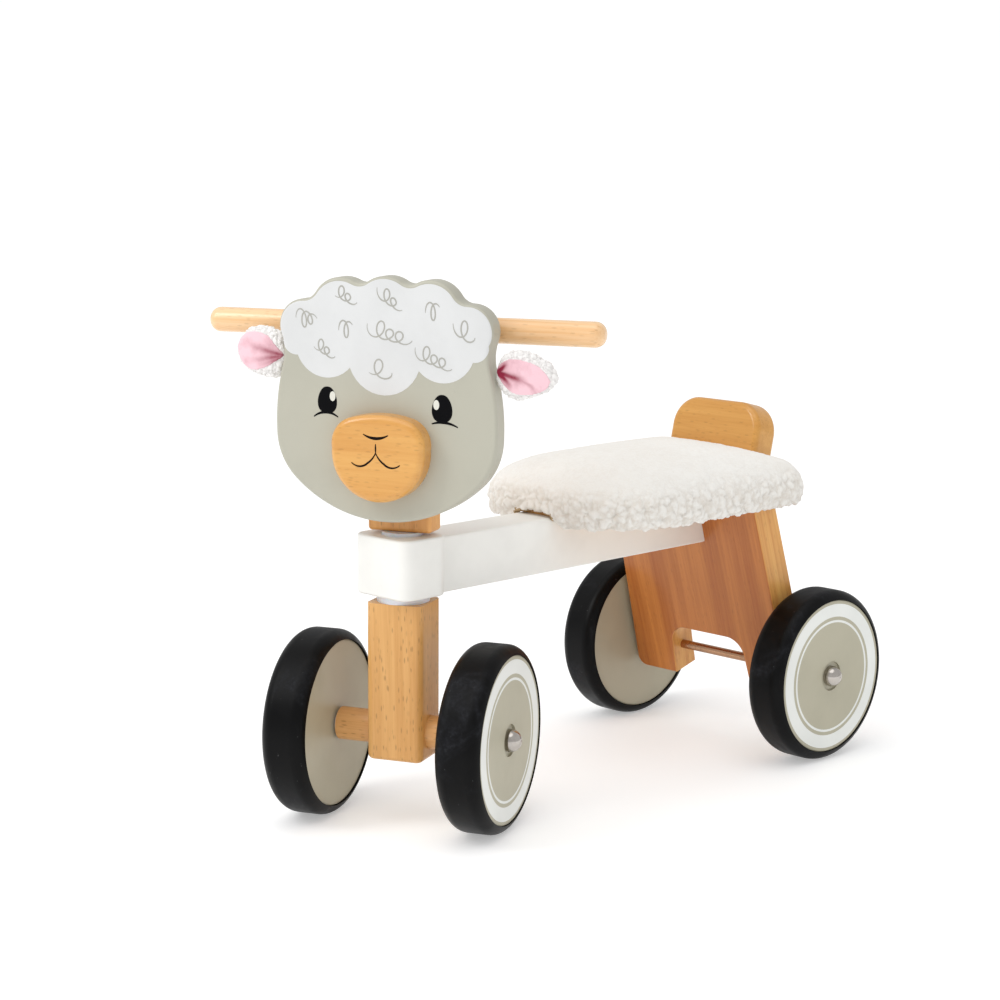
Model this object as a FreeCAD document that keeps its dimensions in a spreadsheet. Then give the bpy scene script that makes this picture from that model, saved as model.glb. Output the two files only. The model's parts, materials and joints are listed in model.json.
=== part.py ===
"""Wooden four-wheel balance bike with an animal head, a fleece seat and a steered front axle.

Frame: +X forwards, +Y to the rider's left, +Z up, origin on the floor under the middle of the bike.
The front assembly is drawn straight ahead and turned about the steering axis by its Placement.
Turned parts are drawn about the Y axis, boards in their own upright position.
"""
import FreeCAD
import Part
import Sketcher
import math
import os
import re

from FreeCAD import Vector

# Driving dimensions: alias, value, meaning.  Millimetres, and degrees for the three angles.
SIZES = [
    ("steer_x", 180.2, "steering axis, forward of the origin"),
    ("steer_angle", 24.5, "turn of the front assembly to the left at rest"),
    ("wheelbase", 388.4, "front axle to rear axle"),
    ("front_track", 146.2, "between the middles of the front wheels"),
    ("rear_track", 220.2, "between the middles of the rear wheels"),
    ("tyre_radius", 75, "outside radius of the tyre"),
    ("tyre_width", 37.7, "width of the tyre"),
    ("tyre_shoulder", 10.4, "radius of the tyre's shoulders"),
    ("disc_radius", 67.2, "wooden wheel disc"),
    ("disc_outer_recess", 1.3, "disc face inside the outer tyre wall"),
    ("disc_inner_recess", 2.0, "disc face inside the inner tyre wall"),
    ("hub_radius", 7.0, "outside radius of the nylon hub bush"),
    ("hub_recess_radius", 13.0, "recess for the axle cap"),
    ("hub_recess_depth", 2.0, "depth of that recess"),
    ("rod_radius", 4.0, "steel axle rods"),
    ("running_gap", 0.05, "radial clearance of a running fit"),
    ("end_play", 0.1, "axial clearance of a wheel"),
    ("cap_radius", 9.0, "domed axle cap"),
    ("cap_height", 9.4, "height of the dome above the wheel disc"),
    ("cap_lip", 1.5, "straight lip under the dome"),
    ("axle_washer_radius", 9.0, "washers inside the wheels"),
    ("sleeve_radius", 13.2, "wooden dowel around the front axle"),
    ("sleeve_half", 54.0, "half the length of that dowel"),
    ("post_half_depth", 21.0, "steering post, fore and aft"),
    ("post_half_width", 23.5, "steering post, across"),
    ("post_bottom", 53.4, "foot of the steering post"),
    ("post_top", 180.0, "top of the steering post"),
    ("post_edge", 6.0, "rounding of the post's long edges"),
    ("post_foot", 4.0, "rounding of the foot of the post"),
    ("block_front", 26.9, "white steering block, ahead of the steering axis"),
    ("block_back", 21.2, "white steering block, behind the steering axis"),
    ("block_half", 30.7, "white steering block, half width"),
    ("block_bottom", 185.9, "underside of the white steering block"),
    ("block_top", 233.5, "top of the white steering block"),
    ("block_corner", 11.3, "rounding of its upright corners"),
    ("paint_edge", 2.0, "rounding of the painted long edges"),
    ("bush_outer", 8.0, "outside radius of the steering bushes"),
    ("bush_length", 12.0, "length of each steering bush"),
    ("spindle_radius", 5.0, "threaded steering spindle"),
    ("spindle_bottom", 98.0, "lower end of the spindle"),
    ("spindle_top", 268.0, "upper end of the spindle"),
    ("barrel_radius", 6.0, "cross-dowel nuts on the spindle"),
    ("post_barrel_z", 116.0, "lower cross-dowel nut"),
    ("neck_barrel_z", 255.0, "upper cross-dowel nut"),
    ("barrel_reach", 8.0, "half the length of a cross-dowel nut"),
    ("lower_washer_radius", 21.0, "bearing washer on the post"),
    ("upper_washer_radius", 17.0, "bearing washer under the neck"),
    ("neck_bottom", 236.0, "underside of the neck board"),
    ("neck_top", 330.0, "top of the neck board"),
    ("neck_half", 26.7, "neck board, half width"),
    ("neck_back", 13.5, "neck board, behind the steering axis"),
    ("neck_front", 9.0, "neck board, ahead of the steering axis"),
    ("neck_edge", 3.0, "rounding of the neck board"),
    ("spacer_bottom", 262.0, "lower end of the board behind the head"),
    ("spacer_half", 22.0, "half width of the board behind the head"),
    ("bar_block_back", 24.0, "handlebar block, behind the steering axis"),
    ("bar_block_top", 418.0, "top of the handlebar block"),
    ("bar_block_half", 30.0, "half width of the handlebar block"),
    ("bar_radius", 9.9, "handlebar dowel"),
    ("bar_half", 165.4, "half the length of the handlebar"),
    ("bar_z", 396.0, "height of the handlebar"),
    ("bar_end_round", 8.5, "rounding of the handlebar's ends"),
    ("bar_ring_gap", 1.0, "between the handlebar block and the turned ring beside it"),
    ("bar_ring_wide", 1.5, "width of the turned rings that centre the bar in its block"),
    ("bar_ring_deep", 0.4, "depth of those rings"),
    ("head_back", 18.4, "back face of the head board"),
    ("head_thick", 18.0, "thickness of the head board"),
    ("head_edge", 2.6, "rounding of the head board"),
    ("head_half", 92.0, "half width of the head at the cheeks"),
    ("head_bottom", 248.0, "chin"),
    ("chin_radius", 110.0, "large arc of the chin"),
    ("chin_reach", 76.0, "where the chin arc meets the cheek arc"),
    ("cheek_radius", 51.8, "small arc of the cheek"),
    ("cheek_z", 315.9, "height of the middle of the cheek arc"),
    ("curl_radius", 24.5, "bumps beside the middle one"),
    ("top_curl_radius", 25.5, "middle bump"),
    ("outer_curl_radius", 20.5, "outer bumps"),
    ("valley_round", 13.0, "rounding between the bumps"),
    ("snout_thick", 17.0, "thickness of the snout"),
    ("snout_edge", 5.5, "rounding of the snout"),
    ("ear_middle", 27.4, "middle of the ears, ahead of the steering axis"),
    ("ear_across", 113.0, "middle of the ears, from the middle of the head"),
    ("ear_z", 368.0, "height of the ears"),
    ("ear_half_thick", 6.5, "half thickness of the ears"),
    ("ear_half_wide", 21.6, "half of the ears' reach"),
    ("ear_half_high", 20.0, "half height of the ears"),
    ("beam_half", 19.6, "half width of the beam"),
    ("beam_bottom", 185.1, "underside of the beam"),
    ("beam_top", 230.3, "top of the beam, where the seat rests"),
    ("dowel_radius", 5.0, "dowels between block and beam"),
    ("panel_lean", 15.83, "lean of the rear panel, foot rearwards"),
    ("panel_thick", 28.5, "thickness of the rear panel"),
    ("panel_foot", 23.2, "rear panel below its axle, along the board"),
    ("panel_foot_half", 90.1, "half width of the rear panel at its feet"),
    ("panel_flare", 0.041, "narrowing of the rear panel per unit of height"),
    ("panel_high", 172.0, "rear panel above its axle before its top is cut"),
    ("notch_top", 25.3, "top of the notch between the feet"),
    ("notch_half", 44.2, "half width of the notch at the feet"),
    ("notch_top_half", 41.1, "half width of the notch at its top"),
    ("notch_round", 17.0, "rounding of the notch's upper corners"),
    ("foot_round", 9.0, "rounding of the feet's outer corners"),
    ("board_edge", 1.6, "rounding of the rear panel's edges"),
    ("seat_front", 28.2, "front edge of the seat board, ahead of the origin"),
    ("seat_back", 217.8, "back edge of the seat board, behind the origin"),
    ("seat_half", 84.0, "half width of the seat board"),
    ("seat_thick", 14.0, "thickness of the seat board"),
    ("seat_corner", 60.0, "front corners of the seat board"),
    ("seat_back_corner", 30.0, "back corners of the seat board"),
    ("cushion_front", 38.2, "front of the cushion"),
    ("cushion_back", 225.2, "back of the cushion, behind the origin"),
    ("cushion_half", 95.0, "half width of the cushion"),
    ("cushion_bottom", 217.5, "lower edge of the fleece around the seat board"),
    ("cushion_top", 271.0, "top of the cushion"),
    ("cushion_corner", 72.0, "front corners of the cushion"),
    ("cushion_back_corner", 29.0, "back corners of the cushion"),
    ("cushion_round", 20.0, "rounding of the cushion's top edge"),
    ("soft_gap", 0.3, "clearance around the wooden pieces in the cushion"),
    ("rest_lean", 13.4, "lean of the backrest, top rearwards"),
    ("rest_x", 184.8, "front face of the backrest at the seat board, behind the origin"),
    ("rest_half", 49.8, "half width of the backrest"),
    ("rest_height", 65.0, "height of the backrest along the board"),
    ("rest_thick", 28.0, "thickness of the backrest"),
    ("rest_corner", 26.0, "rounding of its upper corners"),
    ("rest_edge", 5.5, "rounding of its edges"),
    ("rest_screw_reach", 30.0, "backrest screws above the seat board"),
    ("seat_screw_seat", 198.0, "underside of the seat screws' heads"),
    ("seat_screw_tip", 241.0, "tips of the seat screws"),
    ("panel_screw_reach", 38.0, "panel screws beyond the panel"),
    ("head_screw_reach", 12.0, "screws into the back of the head"),
    ("snout_screw_sink", 5.0, "depth of the snout screws' heads in the head board"),
    ("snout_screw_reach", 11.0, "screws into the snout"),
    ("bar_screw_tip", 5.0, "tip of the handlebar screw, ahead of the steering axis"),
    ("dowel_reach", 11.0, "beam dowels, each way from the joint"),
    ("rear_washer_start", 89.8, "inner face of the rear washers"),
    ("disc_edge", 1.2, "rounding of the wheel discs"),
    ("cushion_hem", 6.0, "rounding of the cushion's lower edge"),
    ("screw_radius", 2.3, "wood screws"),
    ("screw_head", 4.8, "screw heads"),
    ("screw_head_high", 2.8, "height of the screw heads"),
]
ALIASES = {name for name, value, meaning in SIZES}
OUT_FOLDER = "parts"

# Middles of the bumps of wool as (across, height), and the temple between them and the cheek.
SIDE_CURL = (37.0, 411.0)
OUTER_CURL = (68.0, 397.5)
TOP_CURL = (0.0, 411.8)
TEMPLE = [(86.3, 367.0), (84.9, 378.5), (87.0, 389.8)]
CHEEK_TO_TEMPLE = (91.0, 342.0)

# Arcs of the right half of the snout, then its brow and chin as (end, middle).
SNOUT_ARCS = [
    [(29.3, 279.0), (36.6, 291.8), (38.4, 306.2)],
    [(38.4, 306.2), (34.2, 322.8), (21.9, 330.4)],
]
SNOUT_BROW = [(21.9, 330.4), (0.0, 333.2)]
SNOUT_CHIN = [(29.3, 279.0), (0.0, 265.6)]

# Places of screws and dowels in the plane they are drilled from, as pairs of expressions.
DOWELS = [("0", "199"), ("0", "219")]
SEAT_SCREWS = [("0", "0"), ("-100", "0")]
REST_SCREWS = [("-202", "-25"), ("-202", "25")]
PANEL_SCREWS = [("-10", "145"), ("10", "145")]
NECK_SCREWS = [("0", "282"), ("0", "314")]
BLOCK_SCREWS = [("-18", "352"), ("18", "352")]
BAR_SCREW = [("0", "bar_z")]
BAR_SCREW_IN_BAR = [("0", "0")]
SNOUT_SCREWS = [("-30", "302"), ("30", "302")]

doc = FreeCAD.newDocument("BalanceBike")
sheet = doc.addObject("Spreadsheet::Sheet", "Sizes")
for row, (alias, value, meaning) in enumerate(SIZES, start=1):
    sheet.set("A%d" % row, meaning)
    sheet.set("B%d" % row, str(value))
    sheet.setAlias("B%d" % row, alias)
doc.recompute()

nodes = []


def size(alias):
    return float(sheet.get(alias))


def in_sheet(text):
    """Turn an expression in aliases into one that reads them from the sheet."""
    def cell(match):
        word = match.group(0)
        return "Sizes." + word if word in ALIASES else word
    return re.sub(r"[A-Za-z_][A-Za-z_0-9]*", cell, str(text))


def bind(thing, prop, text):
    thing.setExpression(prop, in_sheet(text))


def place(thing, x="0", z="0", turn="0", axis=(0, 0, 1)):
    """Bind a sub-part's Placement: a point on the bike and one turn."""
    spin = "rotation(vector(%g; %g; %g); %s)" % (axis[0], axis[1], axis[2], turn)
    bind(thing, "Placement", "placement(vector(%s; 0; %s); %s)" % (x, z, spin))


def steered(body, z="0", turn="steer_angle"):
    place(body, "steer_x", z, turn)


def new_body(label):
    body = doc.addObject("PartDesign::Body", label)
    body.Label = label
    body.AllowCompound = True
    nodes.append(body)
    return body


def origin_plane(body, role):
    return [f for f in body.Origin.OriginFeatures if f.Role == role][0]


def new_sketch(body, role, offset="0"):
    sketch = body.newObject("Sketcher::SketchObject", body.Label + "_sketch")
    sketch.AttachmentSupport = [(origin_plane(body, role), "")]
    sketch.MapMode = "FlatFace"
    bind(sketch, "AttachmentOffset.Base.z", offset)
    return sketch


def value_of(text):
    """Number that an expression in aliases stands for."""
    return float(sheet.evalExpression(str(text)))


def hold(sketch, kind, geometry, point, text, name):
    """Fix one coordinate of a vertex to an expression."""
    if text == "0":
        along = -2 if kind == "DistanceX" else -1
        sketch.addConstraint(Sketcher.Constraint("PointOnObject", geometry, point, along))
        return
    rule = Sketcher.Constraint(kind, -1, 1, geometry, point, value_of(text))
    index = sketch.addConstraint(rule)
    sketch.renameConstraint(index, name)
    bind(sketch, "Constraints." + name, text)


def polygon(sketch, corners):
    """Closed outline whose corners are pairs of expressions."""
    first = sketch.GeometryCount
    spots = [Vector(value_of(a), value_of(b), 0) for a, b in corners]
    count = len(spots)
    for i in range(count):
        sketch.addGeometry(Part.LineSegment(spots[i], spots[(i + 1) % count]))
    for i in range(count):
        following = first + (i + 1) % count
        sketch.addConstraint(Sketcher.Constraint("Coincident", first + i, 2, following, 1))
    for i, (a, b) in enumerate(corners):
        hold(sketch, "DistanceX", first + i, 1, a, "across%d" % (first + i))
        hold(sketch, "DistanceY", first + i, 1, b, "up%d" % (first + i))


def rectangle(sketch, left, right, low, high):
    polygon(sketch, [(left, low), (right, low), (right, high), (left, high)])


def round_rectangle(sketch, left, right, half, left_corner, right_corner, gap):
    """Rounded outline about the first axis, grown outwards by a gap."""
    corners = [(1, 1, right_corner), (-1, 1, left_corner), (-1, -1, left_corner),
               (1, -1, right_corner)]
    spots = []
    for quarter, (side, way, corner) in enumerate(corners):
        across = right - corner if side > 0 else left + corner
        up = way * (half - corner)
        reach = corner + gap
        for step in (0, 1, 2):
            angle = math.radians(90 * quarter + 45 * step)
            spots.append(Vector(across + reach * math.cos(angle), up + reach * math.sin(angle), 0))
    for quarter in range(4):
        start, middle, finish = spots[3 * quarter:3 * quarter + 3]
        following = spots[(3 * quarter + 3) % len(spots)]
        sketch.addGeometry(Part.Arc(start, middle, finish))
        sketch.addGeometry(Part.LineSegment(finish, following))


def circle(sketch, across, up, radius):
    shape = Part.Circle(Vector(value_of(across), value_of(up), 0), Vector(0, 0, 1), value_of(radius))
    index = sketch.addGeometry(shape)
    rule = sketch.addConstraint(Sketcher.Constraint("Radius", index, value_of(radius)))
    sketch.renameConstraint(rule, "radius%d" % index)
    bind(sketch, "Constraints.radius%d" % index, radius)
    hold(sketch, "DistanceX", index, 3, across, "across%d" % index)
    hold(sketch, "DistanceY", index, 3, up, "up%d" % index)


def arc_outline(sketch, arcs):
    """Closed outline of arcs, each given by its start, a point on it and its end."""
    for start, middle, end in arcs:
        arc = Part.Arc(Vector(*start, 0), Vector(*middle, 0), Vector(*end, 0))
        sketch.addGeometry(arc)
    count = len(arcs)
    for i in range(count):
        joint = nearest_ends(sketch, i, (i + 1) % count)
        sketch.addConstraint(Sketcher.Constraint("Coincident", i, joint[0], (i + 1) % count, joint[1]))


def nearest_ends(sketch, first, second):
    """Which ends of two neighbouring arcs meet: a sketch may store an arc the other way round."""
    pairs = [(a, b) for a in (1, 2) for b in (1, 2)]
    return min(pairs, key=lambda p: sketch.getPoint(first, p[0]).distanceToPoint(
        sketch.getPoint(second, p[1])))


def pad(body, sketch, length, both_ways=False, backwards=False):
    feature = body.newObject("PartDesign::Pad", body.Label + "_pad")
    feature.Profile = sketch
    feature.SideType = "Symmetric" if both_ways else "One side"
    feature.Reversed = backwards
    bind(feature, "Length", length)
    doc.recompute()
    return feature


def cut(body, sketch, length, both_ways=False, backwards=False):
    """Pocket, checked to take material away."""
    before = body.Shape.Volume
    feature = body.newObject("PartDesign::Pocket", body.Label + "_pocket")
    feature.Profile = sketch
    feature.SideType = "Symmetric" if both_ways else "One side"
    feature.Reversed = backwards
    bind(feature, "Length", length)
    doc.recompute()
    if body.Shape.Volume >= before:
        raise RuntimeError(body.Label + ": a pocket cuts nothing")
    return feature


def revolve(body, sketch, axis="H_Axis"):
    feature = body.newObject("PartDesign::Revolution", body.Label + "_turned")
    feature.Profile = sketch
    feature.ReferenceAxis = (sketch, [axis])
    feature.Angle = 360
    doc.recompute()
    return feature


def mirror(body, features, role):
    feature = body.newObject("PartDesign::Mirrored", body.Label + "_pair")
    feature.Originals = features
    feature.MirrorPlane = (origin_plane(body, role), [""])
    body.Tip = feature
    doc.recompute()
    return feature


def round_edges(body, radius, wanted):
    """Fillet the edges of the latest feature for which wanted(edge) is true."""
    base = body.Tip
    edges = base.Shape.Edges
    names = ["Edge%d" % (i + 1) for i, edge in enumerate(edges) if wanted(edge)]
    if not names:
        raise RuntimeError(body.Label + ": no edge to round")
    feature = body.newObject("PartDesign::Fillet", body.Label + "_fillet")
    feature.Base = (base, names)
    bind(feature, "Radius", radius)
    doc.recompute()
    return feature


def ends(edge):
    return edge.valueAt(edge.FirstParameter), edge.valueAt(edge.LastParameter)


def along(edge, axis):
    """True for a straight edge parallel to X, Y or Z (0, 1 or 2)."""
    start, finish = ends(edge)
    run = finish - start
    straight = abs(run.Length - edge.Length) < 1e-4
    return straight and run.Length > 1e-6 and abs(run[axis]) > 0.999 * run.Length


def at_level(edge, axis, level, slack=0.01):
    """True when a whole edge lies at one coordinate."""
    middle = edge.valueAt(0.5 * (edge.FirstParameter + edge.LastParameter))
    return all(abs(spot[axis] - level) < slack for spot in (*ends(edge), middle))


def board(label, left, right, back, front, low, high):
    """Upright block drawn in plan and padded from its lower to its upper face."""
    body = new_body(label)
    sketch = new_sketch(body, "XY_Plane", low)
    rectangle(sketch, left, right, back, front)
    pad(body, sketch, "%s - (%s)" % (high, low))
    return body


def bore(body, role, spots, radius, start, finish):
    """Round holes square to an origin plane, between two levels along that plane's axis."""
    if role == "XZ_Plane":
        sketch = new_sketch(body, role)
        length = "2 * (%s)" % finish
    else:
        sketch = new_sketch(body, role, start)
        length = "%s - (%s)" % (finish, start)
    for across, up in spots:
        circle(sketch, across, up, radius)
    cut(body, sketch, length, both_ways=role == "XZ_Plane", backwards=role != "XZ_Plane")


def screw_set(label, role, spots, seat, tip):
    """Pan-head screws along +X or +Z: heads just before the seat, shanks from there to the tip."""
    body = new_body(label)
    shanks = new_sketch(body, role, seat)
    for across, up in spots:
        circle(shanks, across, up, "screw_radius")
    pad(body, shanks, "%s - (%s)" % (tip, seat))
    heads = new_sketch(body, role, "%s - screw_head_high" % seat)
    for across, up in spots:
        circle(heads, across, up, "screw_head")
    pad(body, heads, "screw_head_high")
    return body


def tyre_section(sketch, middle):
    """Flat tread, round shoulders and side walls that end at the wooden disc."""
    shoulder = size("tyre_shoulder")
    tread = size("tyre_radius")
    inner = size("disc_radius")
    flat = size("tyre_width") / 2 - shoulder
    rise = inner - (tread - shoulder)
    start = math.asin(rise / shoulder)
    wall = flat + shoulder * math.cos(start)
    crown = Vector(middle + flat, tread, 0)
    corner = Vector(middle + wall, inner, 0)
    bend = (start + math.pi / 2) / 2
    bulge = Vector(middle + flat + shoulder * math.cos(bend),
                   tread - shoulder + shoulder * math.sin(bend), 0)

    def mirrored(spot):
        return Vector(2 * middle - spot.x, spot.y, 0)
    sketch.addGeometry(Part.LineSegment(mirrored(corner), corner))
    sketch.addGeometry(Part.Arc(corner, bulge, crown))
    sketch.addGeometry(Part.LineSegment(crown, mirrored(crown)))
    sketch.addGeometry(Part.Arc(mirrored(crown), mirrored(bulge), mirrored(corner)))


def cap_section(sketch, base, face, rod_end):
    """Axle cap: a disc in the wheel's recess, a short lip and a dome centred on the axle."""
    radius = size("cap_radius")
    lip = face + size("cap_lip")
    tip = face + size("cap_height")
    rise = tip - lip
    ball = (radius ** 2 + rise ** 2) / (2 * rise)
    bend = math.asin(radius / ball) / 2
    bulge = Vector(tip - ball * (1 - math.cos(bend)), ball * math.sin(bend), 0)
    rod = size("rod_radius")
    corners = [Vector(tip, 0, 0), Vector(rod_end, 0, 0), Vector(rod_end, rod, 0),
               Vector(base, rod, 0), Vector(base, radius, 0), Vector(lip, radius, 0)]
    for start, finish in zip(corners, corners[1:]):
        sketch.addGeometry(Part.LineSegment(start, finish))
    sketch.addGeometry(Part.Arc(corners[-1], bulge, corners[0]))


def make_wheel(name, track, x, turn):
    """Tyre, wooden disc and nylon hub of one wheel, drawn for the left side."""
    middle = "%s / 2" % track
    inner_face = middle + " - tyre_width / 2 + disc_inner_recess"
    outer_face = middle + " + tyre_width / 2 - disc_outer_recess"
    floor = outer_face + " - hub_recess_depth"

    tyre = new_body(name + "_tyre")
    sketch = new_sketch(tyre, "YZ_Plane")
    tyre_section(sketch, value_of(middle))
    revolve(tyre, sketch)

    disc = new_body(name + "_disc")
    sketch = new_sketch(disc, "YZ_Plane")
    polygon(sketch, [(inner_face, "hub_radius"), (inner_face, "disc_radius"),
                     (outer_face, "disc_radius"), (outer_face, "hub_recess_radius"),
                     (floor, "hub_recess_radius"), (floor, "hub_radius")])
    revolve(disc, sketch)
    rim = 2 * math.pi * size("disc_radius")
    round_edges(disc, "disc_edge", lambda e: abs(e.Length - rim) < 0.1)

    hub = new_body(name + "_hub")
    sketch = new_sketch(hub, "YZ_Plane")
    rectangle(sketch, inner_face, floor, "rod_radius + running_gap", "hub_radius")
    revolve(hub, sketch)
    for body in (tyre, disc, hub):
        place(body, x, "tyre_radius", turn)


def make_axle(name, track, x, turn, washer_start):
    """Steel rod, its two domed caps and the washers inside the wheels."""
    middle = "%s / 2" % track
    inner_face = middle + " - tyre_width / 2 + disc_inner_recess"
    outer_face = middle + " + tyre_width / 2 - disc_outer_recess"
    rod_end = outer_face + " + cap_height / 2"

    rod = new_body(name + "_axle")
    sketch = new_sketch(rod, "XZ_Plane")
    circle(sketch, "0", "0", "rod_radius")
    pad(rod, sketch, "2 * (%s)" % rod_end, both_ways=True)

    caps = new_body(name + "_axle_caps")
    sketch = new_sketch(caps, "YZ_Plane")
    base = outer_face + " - hub_recess_depth + end_play"
    cap_section(sketch, value_of(base), value_of(outer_face), value_of(rod_end))
    mirror(caps, [revolve(caps, sketch)], "XZ_Plane")

    washers = new_body(name + "_axle_washers")
    sketch = new_sketch(washers, "YZ_Plane")
    rectangle(sketch, washer_start, inner_face + " - end_play", "rod_radius", "axle_washer_radius")
    mirror(washers, [revolve(washers, sketch)], "XZ_Plane")
    for body in (rod, caps, washers):
        place(body, x, "tyre_radius", turn)


def make_steering_block():
    """White block that carries the steering spindle in two nylon bushes."""
    block = board("steering_block", "-block_back", "block_front", "-block_half", "block_half",
                  "block_bottom", "block_top")
    round_edges(block, "block_corner", lambda e: along(e, 2))
    top = size("block_top")
    bottom = size("block_bottom")
    round_edges(block, "paint_edge", lambda e: at_level(e, 2, top) or at_level(e, 2, bottom))
    bore(block, "XY_Plane", [("0", "0")], "bush_outer", "block_bottom", "block_top")
    bore(block, "YZ_Plane", DOWELS, "dowel_radius", "-block_back", "dowel_reach - block_back")
    place(block, "steer_x")

    bushes = new_body("steering_bushes")
    sketch = new_sketch(bushes, "XZ_Plane")
    for start in ("block_bottom", "block_top - bush_length"):
        rectangle(sketch, "spindle_radius + running_gap", "bush_outer", start,
                  start + " + bush_length")
    revolve(bushes, sketch, "V_Axis")
    place(bushes, "steer_x")


def make_beam():
    """Square beam from the steering block to the leaning rear panel, and its dowels."""
    front = "steer_x - block_back"
    beam = new_body("main_beam")
    sketch = new_sketch(beam, "XZ_Plane")
    rear = "steer_x - wheelbase + panel_thick / 2 / cos(panel_lean)"
    rear += " + (%s - tyre_radius) * tan(panel_lean)"
    polygon(sketch, [(front, "beam_bottom"), (front, "beam_top"),
                     (rear % "beam_top", "beam_top"), (rear % "beam_bottom", "beam_bottom")])
    pad(beam, sketch, "2 * beam_half", both_ways=True)
    round_edges(beam, "paint_edge", lambda e: along(e, 0))
    bore(beam, "YZ_Plane", DOWELS, "dowel_radius", front + " - dowel_reach", front)
    bore(beam, "XY_Plane", SEAT_SCREWS, "screw_head + 0.5", "beam_bottom", "seat_screw_seat")
    bore(beam, "XY_Plane", SEAT_SCREWS, "screw_radius", "seat_screw_seat", "beam_top")
    for y, up in PANEL_SCREWS:
        drill_beam_end(beam, y, up)

    dowels = new_body("beam_dowels")
    sketch = new_sketch(dowels, "YZ_Plane", front + " - dowel_reach")
    for y, z in DOWELS:
        circle(sketch, y, z, "dowel_radius")
    pad(dowels, sketch, "2 * dowel_reach")


def drill_beam_end(beam, y, up):
    """Hole for a screw that comes square through the leaning panel into the beam."""
    sketch = beam.newObject("Sketcher::SketchObject", "main_beam_drill")
    sketch.AttachmentSupport = [(origin_plane(beam, "YZ_Plane"), "")]
    sketch.MapMode = "FlatFace"
    turn = "rotation(vector(1; 0; 0); panel_lean)"
    height = "%s * cos(panel_lean) + tyre_radius" % up
    forward = "steer_x - wheelbase + %s * sin(panel_lean)" % up
    spot = "vector(0; %s; %s)" % (height, forward)
    bind(sketch, "AttachmentOffset", "placement(%s; %s)" % (spot, turn))
    circle(sketch, y, "0", "screw_radius")
    cut(beam, sketch, "panel_thick / 2 + panel_screw_reach", backwards=True)


def make_rear_panel():
    """Leaning rear board with two feet; its own origin is on the rear axle."""
    panel = new_body("rear_panel")
    sketch = new_sketch(panel, "YZ_Plane", "-panel_thick / 2")
    top_half = "panel_foot_half - panel_flare * (panel_foot + panel_high)"
    polygon(sketch, [("-(%s)" % top_half, "panel_high"), ("-panel_foot_half", "-panel_foot"),
                     ("-notch_half", "-panel_foot"), ("-notch_top_half", "notch_top"),
                     ("notch_top_half", "notch_top"), ("notch_half", "-panel_foot"),
                     ("panel_foot_half", "-panel_foot"), (top_half, "panel_high")])
    pad(panel, sketch, "panel_thick")

    def corner(edge, across, up):
        spot = ends(edge)[0]
        return along(edge, 0) and abs(abs(spot.y) - across) < 0.5 and abs(spot.z - up) < 0.5
    notch = (size("notch_top_half"), size("notch_top"))
    foot = (size("panel_foot_half"), -size("panel_foot"))
    round_edges(panel, "notch_round", lambda e: corner(e, *notch))
    round_edges(panel, "foot_round", lambda e: corner(e, *foot))
    face = size("panel_thick") / 2
    round_edges(panel, "board_edge", lambda e: at_level(e, 0, face) or at_level(e, 0, -face))

    # The top is cut level with the beam, so that the seat board lies on both.
    sketch = new_sketch(panel, "XZ_Plane")
    level = "(beam_top - tyre_radius) / cos(panel_lean)"
    slope = "panel_thick * tan(panel_lean)"
    polygon(sketch, [("panel_thick", "%s + %s" % (level, slope)),
                     ("panel_thick", "panel_high + 20"), ("-panel_thick", "panel_high + 20"),
                     ("-panel_thick", "%s - %s" % (level, slope))])
    cut(panel, sketch, "3 * panel_foot_half", both_ways=True)
    bore(panel, "XZ_Plane", [("0", "0")], "rod_radius", "-panel_foot_half", "panel_foot_half")
    bore(panel, "YZ_Plane", PANEL_SCREWS, "screw_radius", "-panel_thick / 2", "panel_thick / 2")
    screws = screw_set("panel_screws", "YZ_Plane", PANEL_SCREWS, "-panel_thick / 2",
                       "panel_thick / 2 + panel_screw_reach")
    for body in (panel, screws):
        place(body, "steer_x - wheelbase", "tyre_radius", "panel_lean", (0, 1, 0))


def make_seat():
    """Seat board on the beam and the panel, the backrest behind it, and their screws."""
    seat = board("seat_board", "-seat_back", "seat_front", "-seat_half", "seat_half",
                 "beam_top", "beam_top + seat_thick")
    round_edges(seat, "seat_back_corner", lambda e: along(e, 2) and ends(e)[0].x < 0)
    round_edges(seat, "seat_corner", lambda e: along(e, 2) and ends(e)[0].x > 0)
    bore(seat, "XY_Plane", SEAT_SCREWS, "screw_radius", "beam_top", "seat_screw_tip")
    bore(seat, "XY_Plane", REST_SCREWS, "screw_radius", "beam_top", "beam_top + seat_thick")
    screw_set("seat_screws", "XY_Plane", SEAT_SCREWS, "seat_screw_seat", "seat_screw_tip")
    screw_set("backrest_screws", "XY_Plane", REST_SCREWS, "beam_top",
              "beam_top + seat_thick + rest_screw_reach")

    rest = new_body("backrest")
    sketch = new_sketch(rest, "YZ_Plane", "-rest_thick")
    rectangle(sketch, "-rest_half", "rest_half", "-rest_thick", "rest_height")
    pad(rest, sketch, "rest_thick")
    top = size("rest_height")
    round_edges(rest, "rest_corner", lambda e: along(e, 0) and ends(e)[0].z > top - 1)
    face = size("rest_thick")
    round_edges(rest, "rest_edge",
                lambda e: (at_level(e, 0, 0) or at_level(e, 0, -face)) and not along(e, 1)
                or (along(e, 1) and ends(e)[0].z > top - 1))
    sketch = new_sketch(rest, "XZ_Plane")
    slope = "2 * rest_thick * tan(rest_lean)"
    polygon(sketch, [("rest_thick", "-rest_thick * tan(rest_lean)"), ("rest_thick", "-3 * rest_thick"),
                     ("-2 * rest_thick", "-3 * rest_thick"), ("-2 * rest_thick", slope)])
    cut(rest, sketch, "3 * rest_half", both_ways=True)
    drill_backrest(rest)
    place(rest, "-rest_x", "beam_top + seat_thick", "-rest_lean", (0, 1, 0))


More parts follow.
